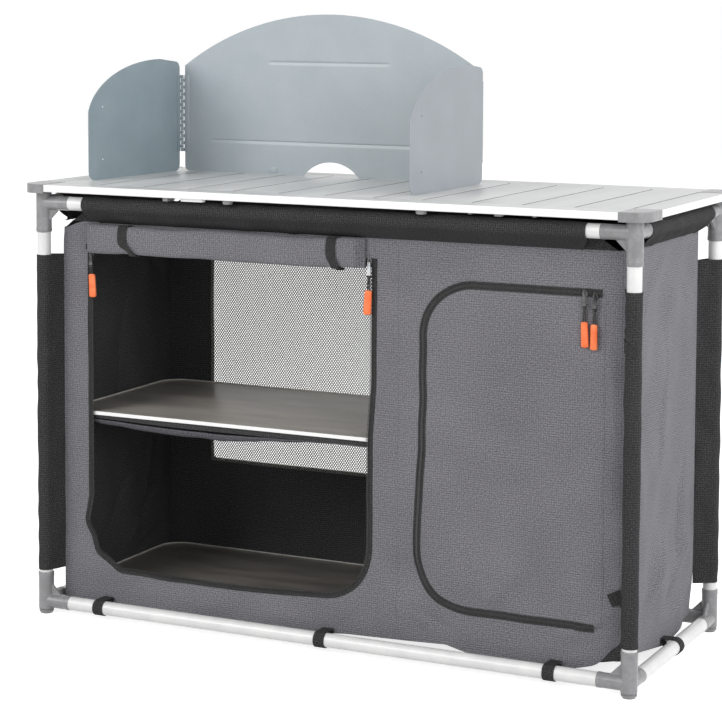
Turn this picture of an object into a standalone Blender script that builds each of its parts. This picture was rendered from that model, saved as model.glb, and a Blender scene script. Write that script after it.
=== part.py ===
"""Camp kitchen unit: plug-together tube frame, fabric cupboard, lift-off tabletop, folding windscreen.

Metres, +Z up. +X runs to the right along the tabletop, -Y is the front that the cupboard opens on,
and the origin lies on the floor under the middle of the tabletop.
"""
from math import acos, atan2, cos, pi, radians, sin, sqrt

import bmesh
import bpy
from mathutils import Matrix, Vector

# Whole unit
TABLE_LENGTH = 1.200
TABLE_DEPTH = 0.500
TABLE_HEIGHT = 0.800
TOUCH = 0.0003

# Tube frame
TUBE_DIAMETER = 0.025
TUBE_WALL = 0.0012
POST_INSET = 0.031
TOP_RAIL_DROP = 0.035
BOTTOM_RAIL_CLEARANCE = 0.001

# Moulded corner connectors, measured from the post axis or from the connector's open end
SOCKET_WALL = 0.0014
SOCKET_REACH = 0.050
TUBE_STOP = 0.016
TOP_SOCKET_LENGTH = 0.073
BOTTOM_SOCKET_LENGTH = 0.070
POST_STOP = 0.037
GUSSET_REACH = 0.019
GUSSET_THICKNESS = 0.005
FOOT_HEIGHT = 0.008
FOOT_RIM = 0.0007
SPIGOT_RADIUS = 0.006
SPIGOT_LENGTH = 0.010

# Tabletop; a corner cap is as wide as the profiles and runs on a little along the side profile
CAP_RUN = 0.025
CAP_RADIUS = 0.022
CAP_THICKNESS = 0.0165
CAP_CROWN = 0.0005
PROFILE_WIDTH = 0.050
PROFILE_THICKNESS = 0.013
PROFILE_WALL = 0.0012
CAP_TONGUE = 0.016
PANEL_THICKNESS = 0.009
PLANK_COUNT = 12
GROOVE_WIDTH = 0.0016
GROOVE_DEPTH = 0.0015

# Fabric cupboard
FABRIC = 0.003
CUPBOARD_INSET_X = 0.054
CUPBOARD_INSET_Y = 0.060
CUPBOARD_BOTTOM = 0.040
CUPBOARD_TOP_DROP = 0.0685
RIGHT_COMPARTMENT = 0.412
SLEEVE_WALL = 0.0016
SKIRT = 0.002
RAIL_SLEEVE_END = 0.081
POST_SLEEVE_CLEARANCE = 0.0047
POST_SLEEVE_TOP_DROP = 0.131

# Rolled-up door of the open bay, which lies between the bay's top edge and the rail sleeve
ROLL_HEIGHT = 0.050
ROLL_DEPTH = 0.032
ROLL_OVERHANG = 0.006
ROLL_CLEARANCE = 0.0055

# Openings in the front and back, measured in from the cupboard's edges and from the divider
BAY_EDGE = 0.053
BAY_TO_DIVIDER = 0.051
BAY_SILL = 0.051
BAY_RADIUS = 0.085
DOOR_TO_DIVIDER = 0.047
DOOR_EDGE = 0.034
DOOR_SILL = 0.058
DOOR_LINTEL = 0.0715
DOOR_RADIUS = 0.072
DOOR_GAP = 0.001
MESH_EDGE = 0.101
MESH_TO_DIVIDER = 0.044
MESH_SILL = 0.188
MESH_LINTEL = 0.0715
MESH_THICKNESS = 0.001

# Boards
BOARD = 0.006
SHELF_HEIGHT = 0.380
BOARD_GAP = 0.0008

# Windscreen
SHEET = 0.0012
SCREEN_LEFT_INSET = 0.1035
SCREEN_WIDTH = 0.629
SCREEN_BACK_INSET = 0.083
SCREEN_SIDE_HEIGHT = 0.207
SCREEN_TOP_HEIGHT = 0.309
SCREEN_FOOT_RADIUS = 0.010
ARCH_OFFSET = 0.007
ARCH_HALF_WIDTH = 0.058
ARCH_HEIGHT = 0.027
WING_LENGTH = 0.301
WING_HEIGHT = 0.215
WING_CROWN = 0.006
WING_CROWN_AT = 0.068
WING_SHOULDER = 0.111
WING_SPRING = 0.128
WING_FOOT_RADIUS = 0.018
WING_BACK_RADIUS = 0.014
WING_HOLE_RADIUS = 0.0025
WING_HOLE_INSET = 0.045
WING_HOLE_HEIGHTS = (0.038, 0.136)
LEFT_WING_SPLAY = radians(3.3)
RIGHT_WING_SPLAY = radians(-1.5)

# Windscreen hinges
KNUCKLE_RADIUS = 0.003
KNUCKLE_COUNT = 5
KNUCKLE_GAP = 0.0006
PIN_RADIUS = 0.0012
PIN_CLEARANCE = 0.0003
HINGE_OFFSET = 0.0045
HINGE_BOTTOM = 0.038
HINGE_TOP = 0.188
LEAF_WIDTH = 0.014
LEAF_THICKNESS = 0.001

# Zip sliders and their pulls
SLIDER_WIDTH = 0.009
SLIDER_HEIGHT = 0.014
SLIDER_DEPTH = 0.005
CORD_RADIUS = 0.0013
CORD_ROOT = 0.005
PULL_WIDTH = 0.013
PULL_DEPTH = 0.006
PULL_LENGTH = 0.044
PULL_FOOT_RADIUS = 0.0039
PULL_TOP_RADIUS = 0.0052
BAY_PULL_BELOW_TOP = 0.040
BAY_CORD_LENGTH = 0.034
BAY_PULL_INSET = 0.0035
DOOR_PULL_BELOW_TOP = 0.050
DOOR_CORD_LENGTH = 0.044
DOOR_OUTER_PULL_INSET = 0.0205
DOOR_PULL_SPACING = 0.0172

# Flat steps along the round edges
ROUND_STEPS = 20
CORNER_STEPS = 4
OPENING_STEPS = 6
ARCH_STEPS = 10
SCREEN_TOP_STEPS = 28
WING_TOP_STEPS = 14
KNUCKLE_STEPS = 16
PIN_STEPS = 12
HOLE_STEPS = 10
CORD_STEPS = 8
PULL_STEPS = 3

# Worked out from the sizes above
TUBE_RADIUS = TUBE_DIAMETER / 2
BORE_RADIUS = TUBE_RADIUS + TOUCH
SOCKET_RADIUS = BORE_RADIUS + SOCKET_WALL
POST_X = TABLE_LENGTH / 2 - POST_INSET
POST_Y = TABLE_DEPTH / 2 - POST_INSET
TOP_RAIL_Z = TABLE_HEIGHT - TOP_RAIL_DROP
CAP_LENGTH = PROFILE_WIDTH
CAP_DEPTH = PROFILE_WIDTH + CAP_RUN
CAP_TOP = TABLE_HEIGHT + CAP_CROWN
CAP_BOTTOM = CAP_TOP - CAP_THICKNESS
CONNECTOR_TOP = CAP_BOTTOM - TOUCH
CONNECTOR_FOOT = FOOT_HEIGHT + TOUCH
BOTTOM_RAIL_HEIGHT = CONNECTOR_FOOT + BOTTOM_RAIL_CLEARANCE + SOCKET_RADIUS
CUPBOARD_X = TABLE_LENGTH / 2 - CUPBOARD_INSET_X
CUPBOARD_Y = TABLE_DEPTH / 2 - CUPBOARD_INSET_Y
CUPBOARD_TOP = TABLE_HEIGHT - CUPBOARD_TOP_DROP
FLOOR_FABRIC_TOP = CUPBOARD_BOTTOM + FABRIC
FLOOR_BOARD_TOP = FLOOR_FABRIC_TOP + TOUCH + BOARD
DIVIDER_X = CUPBOARD_X - RIGHT_COMPARTMENT
BAY_LEFT = BAY_EDGE - CUPBOARD_X
BAY_RIGHT = DIVIDER_X - BAY_TO_DIVIDER
BAY_BOTTOM = CUPBOARD_BOTTOM + BAY_SILL
BAY_TOP = CUPBOARD_TOP - ROLL_CLEARANCE - ROLL_HEIGHT
DOOR_LEFT = DIVIDER_X + DOOR_TO_DIVIDER
DOOR_RIGHT = CUPBOARD_X - DOOR_EDGE
DOOR_BOTTOM = CUPBOARD_BOTTOM + DOOR_SILL
DOOR_TOP = CUPBOARD_TOP - DOOR_LINTEL
SCREEN_CENTRE_X = SCREEN_LEFT_INSET + SCREEN_WIDTH / 2 - TABLE_LENGTH / 2
SCREEN_Y = TABLE_DEPTH / 2 - SCREEN_BACK_INSET
SCREEN_FOOT = TABLE_HEIGHT + TOUCH
HINGE_Y = SCREEN_Y - SHEET / 2 - KNUCKLE_RADIUS
HINGE_LOW = TABLE_HEIGHT + HINGE_BOTTOM
HINGE_HIGH = TABLE_HEIGHT + HINGE_TOP

for leftover in list(bpy.data.objects):
    bpy.data.objects.remove(leftover, do_unlink=True)

parts = bpy.data.collections.new("camp_kitchen_unit")
cutters = bpy.data.collections.new("camp_kitchen_cutters")
bpy.context.scene.collection.children.link(parts)
bpy.context.scene.collection.children.link(cutters)


def finish(name, colour, roughness, metallic=0.0):
    """Make a Principled material from a colour in linear light."""
    material = bpy.data.materials.new(name)
    material.use_nodes = True
    shader = material.node_tree.nodes["Principled BSDF"]
    shader.inputs["Base Color"].default_value = (*colour, 1.0)
    shader.inputs["Roughness"].default_value = roughness
    shader.inputs["Metallic"].default_value = metallic
    return material


TUBE_PAINT = finish("white_tube", (0.82, 0.82, 0.83), 0.35, 0.2)
GREY_PLASTIC = finish("grey_plastic", (0.26, 0.26, 0.27), 0.45)
BLACK_FABRIC = finish("black_fabric", (0.030, 0.030, 0.032), 0.9)
GREY_FABRIC = finish("grey_fabric", (0.165, 0.160, 0.180), 0.9)
MESH_FABRIC = finish("mesh_fabric", (0.55, 0.55, 0.50), 0.8)
BOARD_FACE = finish("board_face", (0.085, 0.075, 0.068), 0.5)
TABLE_FACE = finish("table_face", (0.62, 0.62, 0.61), 0.4, 0.1)
PROFILE_PAINT = finish("white_profile", (0.85, 0.85, 0.85), 0.4, 0.1)
SCREEN_PAINT = finish("screen_paint", (0.31, 0.37, 0.40), 0.4, 0.3)
PULL_ORANGE = finish("orange_pull", (0.90, 0.20, 0.05), 0.5)


def own_material(material, name):
    """Give one object its own copy of a finish."""
    copy = material.copy()
    copy.name = name + "_finish"
    return copy


def add_object(name, mesh, material=None, matrix=Matrix.Identity(4), cutter=False):
    """Link a mesh as a part, or as a cutter that the build leaves out."""
    obj = bpy.data.objects.new(name, mesh)
    obj.matrix_world = matrix
    if cutter:
        cutters.objects.link(obj)
        obj.hide_render = True
        obj.display_type = "WIRE"
    else:
        parts.objects.link(obj)
        mesh.materials.clear()
        mesh.materials.append(own_material(material, name))
    return obj


def box_mesh(name, low, high):
    """Make a box mesh between two corners."""
    shape = bmesh.new()
    bmesh.ops.create_cube(shape, size=1.0)
    for vert in shape.verts:
        for axis in range(3):
            vert.co[axis] = low[axis] if vert.co[axis] < 0 else high[axis]
    mesh = bpy.data.meshes.new(name)
    shape.to_mesh(mesh)
    shape.free()
    return mesh


def rod_mesh(name, radius, start, end, steps=ROUND_STEPS):
    """Make a round bar between two points."""
    start, end = Vector(start), Vector(end)
    turn = (end - start).to_track_quat("Z", "Y").to_matrix().to_4x4()
    place = Matrix.Translation((start + end) / 2) @ turn
    shape = bmesh.new()
    bmesh.ops.create_cone(shape, cap_ends=True, segments=steps, radius1=radius, radius2=radius,
                          depth=(end - start).length, matrix=place)
    mesh = bpy.data.meshes.new(name)
    shape.to_mesh(mesh)
    shape.free()
    return mesh


def plate_mesh(name, outlines, thickness):
    """Fill flat outlines, the first one solid and the rest holes, centred on the XY plane."""
    curve = bpy.data.curves.new(name, "CURVE")
    curve.dimensions = "2D"
    curve.fill_mode = "BOTH"
    curve.extrude = thickness / 2
    for outline in outlines:
        spline = curve.splines.new("POLY")
        spline.points.add(len(outline) - 1)
        spline.use_cyclic_u = True
        for point, (u, v) in zip(spline.points, outline):
            point.co = (u, v, 0.0, 1.0)
    holder = bpy.data.objects.new(name, curve)
    bpy.context.scene.collection.objects.link(holder)
    mesh = evaluated_mesh(holder)
    bpy.data.objects.remove(holder)
    shape = bmesh.new()
    shape.from_mesh(mesh)
    bmesh.ops.remove_doubles(shape, verts=shape.verts, dist=0.00001)
    bmesh.ops.recalc_face_normals(shape, faces=shape.faces)
    shape.to_mesh(mesh)
    shape.free()
    return mesh


def evaluated_mesh(obj):
    """Return the mesh that an object shows with its modifiers applied."""
    depsgraph = bpy.context.evaluated_depsgraph_get()
    return bpy.data.meshes.new_from_object(obj.evaluated_get(depsgraph), depsgraph=depsgraph)


def combine(obj, mesh, operation, matrix=Matrix.Identity(4)):
    """Join a mesh to an object or cut it out of it."""
    cutter = add_object(obj.name + "_" + operation.lower(), mesh, matrix=matrix, cutter=True)
    modifier = obj.modifiers.new(operation.lower(), "BOOLEAN")
    modifier.operation = operation
    modifier.solver = "EXACT"
    modifier.object = cutter


def join(obj, mesh, matrix=Matrix.Identity(4)):
    combine(obj, mesh, "UNION", matrix)


def cut(obj, mesh, matrix=Matrix.Identity(4)):
    combine(obj, mesh, "DIFFERENCE", matrix)


def arc(centre, radius, start, end, steps):
    """Points on an arc, with both ends; angles in radians."""
    points = []
    for i in range(steps + 1):
        angle = start + (end - start) * i / steps
        points.append((centre[0] + radius * cos(angle), centre[1] + radius * sin(angle)))
    return points


def rectangle(low, high):
    """Outline of a square-cornered rectangle, counter-clockwise."""
    return [(low[0], low[1]), (high[0], low[1]), (high[0], high[1]), (low[0], high[1])]


def rounded_rectangle(low, high, radii, steps=OPENING_STEPS):
    """Outline with its own radius at each corner, from bottom left, counter-clockwise."""
    signs = ((1, 1), (-1, 1), (-1, -1), (1, -1))
    outline = []
    for i, (corner, sign, radius) in enumerate(zip(rectangle(low, high), signs, radii)):
        if radius == 0:
            outline.append(corner)
            continue
        centre = (corner[0] + sign[0] * radius, corner[1] + sign[1] * radius)
        start = pi + i * pi / 2
        outline += arc(centre, radius, start, start + pi / 2, steps)
    return outline


def smooth(obj, angle=35):
    """Shade the round faces smooth and keep the real edges sharp."""
    obj.data.shade_smooth()
    obj.data.set_sharp_from_angle(angle=radians(angle))


def settled(obj):
    """Turn an object's modifiers into its mesh, so that its mirrored copies can share the shape."""
    mesh = evaluated_mesh(obj)
    obj.modifiers.clear()
    obj.data = mesh
    return obj


def mirrored(obj, name, side_x, side_y, material):
    """Copy a piece from the +X +Y corner to another corner."""
    shape = bmesh.new()
    shape.from_mesh(obj.data)
    bmesh.ops.scale(shape, vec=(side_x, side_y, 1), verts=shape.verts)
    if side_x * side_y < 0:
        bmesh.ops.reverse_faces(shape, faces=shape.faces)
    mesh = bpy.data.meshes.new(name)
    shape.to_mesh(mesh)
    shape.free()
    copy = add_object(name, mesh, material)
    smooth(copy)
    return copy


CORNERS = {"front_left": (-1, -1), "front_right": (1, -1), "back_left": (-1, 1), "back_right": (1, 1)}


def four_corners(master, suffix, material):
    """Replace a piece made at the +X +Y corner with one copy at each corner."""
    for corner, (side_x, side_y) in CORNERS.items():
        mirrored(master, corner + "_" + suffix, side_x, side_y, material)
    bpy.data.objects.remove(master)


# Tube frame


def tube(name, start, end):
    """Make an open-ended tube as a turned ring section."""
    start, end = Vector(start), Vector(end)
    length = (end - start).length
    inner = TUBE_RADIUS - TUBE_WALL
    section = [(TUBE_RADIUS, length), (TUBE_RADIUS, 0), (inner, 0), (inner, length)]
    mesh = bpy.data.meshes.new(name)
    edges = [(i, (i + 1) % len(section)) for i in range(len(section))]
    mesh.from_pydata([(r, 0, z) for r, z in section], edges, [])
    turn = (end - start).to_track_quat("Z", "Y").to_matrix().to_4x4()
    obj = add_object(name, mesh, TUBE_PAINT, Matrix.Translation(start) @ turn)
    turned = obj.modifiers.new("turned", "SCREW")
    turned.angle = 2 * pi
    turned.steps = ROUND_STEPS
    turned.render_steps = ROUND_STEPS
    turned.merge_threshold = 0.00001
    turned.use_smooth_shade = True
    return obj


def build_tubes():
    """Four posts and the eight rails that plug into the connectors."""
    stop = TUBE_STOP + TOUCH
    post_low = CONNECTOR_FOOT + POST_STOP + TOUCH
    post_high = CONNECTOR_TOP - POST_STOP - TOUCH
    for corner, (side_x, side_y) in CORNERS.items():
        x, y = side_x * POST_X, side_y * POST_Y
        tube(corner + "_post", (x, y, post_low), (x, y, post_high))
    for level, z in (("top", TOP_RAIL_Z), ("bottom", BOTTOM_RAIL_HEIGHT)):
        for side, name in ((-1, "front"), (1, "back")):
            y = side * POST_Y
            tube(f"{name}_{level}_rail", (stop - POST_X, y, z), (POST_X - stop, y, z))
        for side, name in ((-1, "left"), (1, "right")):
            x = side * POST_X
            tube(f"{name}_{level}_rail", (x, stop - POST_Y, z), (x, POST_Y - stop, z))


def gusset_mesh(name, socket_z, up, along_x):
    """Web between the upright socket and one level socket, rooted inside both."""
    tip = SOCKET_RADIUS + GUSSET_REACH
    sunk = SOCKET_RADIUS - SOCKET_WALL / 2
    outline = [(0, socket_z), (tip, socket_z), (tip, socket_z + up * sunk),
               (sunk, socket_z + up * tip), (0, socket_z + up * tip)]
    mesh = plate_mesh(name, [outline], GUSSET_THICKNESS)
    upright = Matrix.Rotation(pi / 2, 4, "X")
    aim = Matrix.Rotation(pi if along_x else -pi / 2, 4, "Z")
    mesh.transform(Matrix.Translation((POST_X, POST_Y, 0)) @ aim @ upright)
    return mesh


def connector(name, low, high, socket_z, mouth_z, stop_z, gusset_up):
    """Corner connector with one upright socket and two level ones, each bored to its stop."""
    x, y = POST_X, POST_Y
    body = add_object(name, rod_mesh(name, SOCKET_RADIUS, (x, y, low), (x, y, high)), GREY_PLASTIC)
    reach = SOCKET_REACH
    join(body, rod_mesh("along_x", SOCKET_RADIUS, (x, y, socket_z), (x - reach, y, socket_z)))
    join(body, rod_mesh("along_y", SOCKET_RADIUS, (x, y, socket_z), (x, y - reach, socket_z)))
    join(body, gusset_mesh("gusset_x", socket_z, gusset_up, True))
    join(body, gusset_mesh("gusset_y", socket_z, gusset_up, False))
    beyond = SOCKET_WALL
    far = reach + beyond
    cut(body, rod_mesh("bore_x", BORE_RADIUS, (x - TUBE_STOP, y, socket_z), (x - far, y, socket_z)))
    cut(body, rod_mesh("bore_y", BORE_RADIUS, (x, y - TUBE_STOP, socket_z), (x, y - far, socket_z)))
    out = beyond if mouth_z > stop_z else -beyond
    cut(body, rod_mesh("bore_z", BORE_RADIUS, (x, y, stop_z), (x, y, mouth_z + out)))
    return body


def build_connectors():
    """Eight corner connectors and the four feet plugged into the lower ones."""
    x, y = POST_X, POST_Y
    mouth = CONNECTOR_TOP - TOP_SOCKET_LENGTH
    top = connector("top_connector", mouth, CONNECTOR_TOP, TOP_RAIL_Z, mouth,
                    CONNECTOR_TOP - POST_STOP, -1)
    hole = SPIGOT_RADIUS + TOUCH
    floor = CONNECTOR_TOP - SPIGOT_LENGTH - 2 * TOUCH
    cut(top, rod_mesh("peg_hole", hole, (x, y, floor), (x, y, CONNECTOR_TOP + hole)))
    four_corners(settled(top), "top_connector", GREY_PLASTIC)
    low = CONNECTOR_FOOT
    bottom = connector("bottom_connector", low, low + BOTTOM_SOCKET_LENGTH, BOTTOM_RAIL_HEIGHT,
                       low + BOTTOM_SOCKET_LENGTH, low + POST_STOP, 1)
    ceiling = low + SPIGOT_LENGTH + 2 * TOUCH
    cut(bottom, rod_mesh("foot_hole", hole, (x, y, low - hole), (x, y, ceiling)))
    four_corners(settled(bottom), "bottom_connector", GREY_PLASTIC)
    foot = add_object("foot", rod_mesh("foot", SOCKET_RADIUS - FOOT_RIM, (x, y, 0), (x, y, FOOT_HEIGHT)),
                      GREY_PLASTIC)
    join(foot, rod_mesh("spigot", SPIGOT_RADIUS, (x, y, FOOT_HEIGHT / 2), (x, y, low + SPIGOT_LENGTH)))
    four_corners(settled(foot), "foot", GREY_PLASTIC)


# Fabric cupboard


def upright_plate(name, outlines, thickness, y):
    """Mesh of a flat piece that stands across the unit, drawn as (x, z) outlines."""
    mesh = plate_mesh(name, outlines, thickness)
    mesh.transform(Matrix.Translation((0, y, 0)) @ Matrix.Rotation(pi / 2, 4, "X"))
    return mesh


def door_outline(grow):
    """Outline of the right-hand doorway: round at the zip corners, square on the hinge side."""
    low = (DOOR_LEFT - grow, DOOR_BOTTOM - grow)
    high = (DOOR_RIGHT + grow, DOOR_TOP + grow)
    radius = DOOR_RADIUS + grow
    return rounded_rectangle(low, high, (radius, 0, 0, radius))


def add_box(name, low, high, material):
    """Add a plain board or a flat panel between two corners."""
    return add_object(name, box_mesh(name, low, high), material)


def build_front_and_back():
    """Front panel with its bay and doorway, and back panel with its mesh window."""
    front_y = FABRIC / 2 - CUPBOARD_Y
    sheet = rectangle((-CUPBOARD_X, CUPBOARD_BOTTOM), (CUPBOARD_X, CUPBOARD_TOP))
    bay = rounded_rectangle((BAY_LEFT, BAY_BOTTOM), (BAY_RIGHT, BAY_TOP),
                            (BAY_RADIUS, BAY_RADIUS, 0, 0))
    front = upright_plate("front_panel", [sheet, bay, door_outline(0)], FABRIC, front_y)
    add_object("front_panel", front, GREY_FABRIC)
    left, right = MESH_EDGE - CUPBOARD_X, DIVIDER_X - MESH_TO_DIVIDER
    bottom, top = CUPBOARD_BOTTOM + MESH_SILL, CUPBOARD_TOP - MESH_LINTEL
    window = rectangle((left, bottom), (right, top))
    add_object("back_panel", upright_plate("back_panel", [sheet, window], FABRIC, -front_y), GREY_FABRIC)
    net_y = -front_y - MESH_THICKNESS / 2
    add_box("mesh_window", (left + TOUCH, net_y, bottom + TOUCH),
            (right - TOUCH, net_y + MESH_THICKNESS, top - TOUCH), MESH_FABRIC)


def build_inside():
    """Side, floor and dividing panels, the floor boards on both sides of the divider, and the shelf."""
    depth = CUPBOARD_Y - FABRIC - TOUCH
    wall = CUPBOARD_X - FABRIC
    inside = wall - TOUCH
    for name, x_low, x_high in (("left_panel", -CUPBOARD_X, -wall), ("right_panel", wall, CUPBOARD_X)):
        add_box(name, (x_low, -depth, CUPBOARD_BOTTOM), (x_high, depth, CUPBOARD_TOP), GREY_FABRIC)
    add_box("floor_panel", (-inside, -depth, CUPBOARD_BOTTOM), (inside, depth, FLOOR_FABRIC_TOP),
            BLACK_FABRIC)
    add_box("divider_panel", (DIVIDER_X, -depth, FLOOR_FABRIC_TOP + TOUCH),
            (DIVIDER_X + FABRIC, depth, CUPBOARD_TOP), BLACK_FABRIC)
    for name, x_low, x_high in (("left_floor_board", -inside, DIVIDER_X - TOUCH),
                                ("right_floor_board", DIVIDER_X + FABRIC + TOUCH, inside)):
        add_box(name, (x_low, -depth, FLOOR_FABRIC_TOP + TOUCH), (x_high, depth, FLOOR_BOARD_TOP),
                BOARD_FACE)
    add_box("shelf", (BOARD_GAP - wall, BOARD_GAP - depth, SHELF_HEIGHT - BOARD),
            (DIVIDER_X - BOARD_GAP, depth - BOARD_GAP, SHELF_HEIGHT), BOARD_FACE)


def build_rolled_door():
    """The open bay's door, rolled up into a flattened bundle above the opening."""
    roll = rod_mesh("rolled_door", 0.5, (BAY_LEFT - ROLL_OVERHANG, 0, 0), (BAY_RIGHT - ROLL_OVERHANG, 0, 0))
    roll.transform(Matrix.Diagonal((1, ROLL_DEPTH, ROLL_HEIGHT, 1)))
    roll_y = -CUPBOARD_Y - TOUCH - ROLL_DEPTH / 2
    roll.transform(Matrix.Translation((0, roll_y, BAY_TOP + ROLL_HEIGHT / 2 + TOUCH)))
    smooth(add_object("rolled_door", roll, GREY_FABRIC))


def build_right_door():
    """Zip-in door of the right-hand compartment, turning about its right edge."""
    axis_x, axis_y = DOOR_RIGHT, -CUPBOARD_Y
    mesh = upright_plate("right_door", [door_outline(-DOOR_GAP)], FABRIC, FABRIC / 2 - CUPBOARD_Y)
    mesh.transform(Matrix.Translation((-axis_x, -axis_y, 0)))
    return add_object("right_door", mesh, GREY_FABRIC, Matrix.Translation((axis_x, axis_y, 0)))


def sleeve_outline(inset, drop):
    """Section of a sleeve round a rail with its skirt down to the cupboard's top edge.

    The rail's centre is the origin, u points into the unit and v points up.
    """
    radius = TUBE_RADIUS + TOUCH + SLEEVE_WALL
    hem = Vector((inset, -drop))
    swing = atan2(hem.y, hem.x) - acos(radius / hem.length)
    outward = Vector((cos(swing), sin(swing)))
    along = Vector((-outward.y, outward.x))
    tangent = outward * radius
    reach = (hem - tangent).dot(along)
    inner = outward * (radius - SKIRT)
    meet = inner + along * sqrt(radius ** 2 - (radius - SKIRT) ** 2)
    start = atan2(meet.y, meet.x)
    end = swing + 2 * pi
    outline = [tuple(tangent), tuple(tangent + along * reach), tuple(inner + along * reach)]
    outline += arc((0, 0), radius, start, end, ROUND_STEPS)[:-1]
    hole = arc((0, 0), TUBE_RADIUS + TOUCH, 0, 2 * pi, ROUND_STEPS)[:-1]
    return [outline, hole]


def build_sleeves():
    """Black sleeves that hang the cupboard on the top rails and hold its corners to the posts."""
    half_x = POST_X - RAIL_SLEEVE_END
    half_y = POST_Y - SOCKET_REACH - 2 * TOUCH
    drop = TOP_RAIL_Z - CUPBOARD_TOP - SKIRT / 2
    lift = Matrix.Translation((0, 0, TOP_RAIL_Z))
    stand = Matrix.Rotation(pi / 2, 4, "X")
    for name, yaw, half, post, panel in (
        ("front", pi / 2, half_x, POST_Y, CUPBOARD_Y),
        ("right", pi, half_y, POST_X, CUPBOARD_X),
        ("back", -pi / 2, half_x, POST_Y, CUPBOARD_Y),
        ("left", 0, half_y, POST_X, CUPBOARD_X),
    ):
        label = name + "_rail_sleeve"
        mesh = plate_mesh(label, sleeve_outline(post - panel - SKIRT, drop), 2 * half)
        mesh.transform(lift @ Matrix.Rotation(yaw, 4, "Z") @ Matrix.Translation((-post, 0, 0)) @ stand)
        smooth(add_object(label, mesh, BLACK_FABRIC))
    low = CONNECTOR_FOOT + BOTTOM_SOCKET_LENGTH + POST_SLEEVE_CLEARANCE
    high = TABLE_HEIGHT - POST_SLEEVE_TOP_DROP
    outer = TUBE_RADIUS + TOUCH + SLEEVE_WALL
    sleeve = add_object("post_sleeve", rod_mesh("post_sleeve", outer, (POST_X, POST_Y, low),
                                                (POST_X, POST_Y, high)), BLACK_FABRIC)
    toward = Vector((CUPBOARD_X - POST_X, CUPBOARD_Y - POST_Y, 0))
    web = box_mesh("web", (TUBE_RADIUS, -SKIRT / 2, low), (toward.length - 2 * TOUCH, SKIRT / 2, high))
    web.transform(Matrix.Translation((POST_X, POST_Y, 0))
                  @ Matrix.Rotation(atan2(toward.y, toward.x), 4, "Z"))
    join(sleeve, web)
    bore_low, bore_high = (POST_X, POST_Y, low - outer), (POST_X, POST_Y, high + outer)
    cut(sleeve, rod_mesh("sleeve_bore", TUBE_RADIUS + TOUCH, bore_low, bore_high))
    four_corners(settled(sleeve), "post_sleeve", BLACK_FABRIC)


# Tabletop


def profile(name, half_run, yaw, reach, carrier):
    """Hollow edge profile along one side of the tabletop, open at both ends."""
    half_width, half_height = PROFILE_WIDTH / 2, PROFILE_THICKNESS / 2
    bore_width, bore_height = half_width - PROFILE_WALL, half_height - PROFILE_WALL
    section = rectangle((-half_width, -half_height), (half_width, half_height))
    bore = rectangle((-bore_width, -bore_height), (bore_width, bore_height))
    mesh = upright_plate(name, [section, bore], 2 * half_run, 0)
    middle = Matrix.Translation((reach - half_width, 0, TABLE_HEIGHT - half_height))
    mesh.transform(Matrix.Rotation(yaw, 4, "Z") @ middle)
    add_object(name, mesh, PROFILE_PAINT).parent = carrier


def build_tabletop(carrier):
    """Edge profiles, corner caps with their tongues and pegs, and the planked panel between them."""
    half_x, half_y = TABLE_LENGTH / 2, TABLE_DEPTH / 2
    inner_x = half_x - PROFILE_WIDTH
    inner_y = half_y - PROFILE_WIDTH
    run_x = half_x - CAP_LENGTH - TOUCH
    run_y = half_y - CAP_DEPTH - TOUCH
    profile("front_profile", run_x, -pi / 2, half_y, carrier)
    profile("back_profile", run_x, pi / 2, half_y, carrier)
    profile("left_profile", run_y, pi, half_x, carrier)
    profile("right_profile", run_y, 0, half_x, carrier)
    outline = rounded_rectangle((half_x - CAP_LENGTH, half_y - CAP_DEPTH), (half_x, half_y),
                                (0, 0, CAP_RADIUS, 0))
    mesh = plate_mesh("corner_cap", [outline], CAP_THICKNESS)
    mesh.transform(Matrix.Translation((0, 0, CAP_BOTTOM + CAP_THICKNESS / 2)))
    cap = add_object("corner_cap", mesh, GREY_PLASTIC)
    fit = PROFILE_WALL + TOUCH
    low, high = TABLE_HEIGHT - PROFILE_THICKNESS + fit, TABLE_HEIGHT - fit
    root_x, root_y = half_x - CAP_RADIUS, half_y - CAP_RADIUS
    tip_x, tip_y = half_x - CAP_LENGTH - CAP_TONGUE, half_y - CAP_DEPTH - CAP_TONGUE
    join(cap, box_mesh("tongue_x", (tip_x, inner_y + fit, low), (root_x, half_y - fit, high)))
    join(cap, box_mesh("tongue_y", (inner_x + fit, tip_y, low), (half_x - fit, root_y, high)))
    peg_end = CONNECTOR_TOP - SPIGOT_LENGTH
    join(cap, rod_mesh("peg", SPIGOT_RADIUS, (POST_X, POST_Y, CAP_BOTTOM + CAP_THICKNESS / 2),
                       (POST_X, POST_Y, peg_end)))
    four_corners(settled(cap), "corner_cap", GREY_PLASTIC)
    for corner in CORNERS:
        bpy.data.objects[corner + "_corner_cap"].parent = carrier
    build_planks(carrier, inner_x - TOUCH, inner_y - TOUCH)


def build_planks(carrier, half_x, half_y):
    """The top panel: one board with a groove between each plank and the next."""
    pitch = 2 * half_x / PLANK_COUNT
    top, low = TABLE_HEIGHT, TABLE_HEIGHT - PANEL_THICKNESS
    section = [(-half_x, low), (half_x, low), (half_x, top)]
    for i in range(PLANK_COUNT - 1, 0, -1):
        x = i * pitch - half_x
        section += [(x + GROOVE_WIDTH / 2, top), (x, top - GROOVE_DEPTH), (x - GROOVE_WIDTH / 2, top)]
    section.append((-half_x, top))
    panel = add_object("plank_panel", upright_plate("plank_panel", [section], 2 * half_y, 0), TABLE_FACE)
    panel.parent = carrier


# Windscreen


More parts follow.
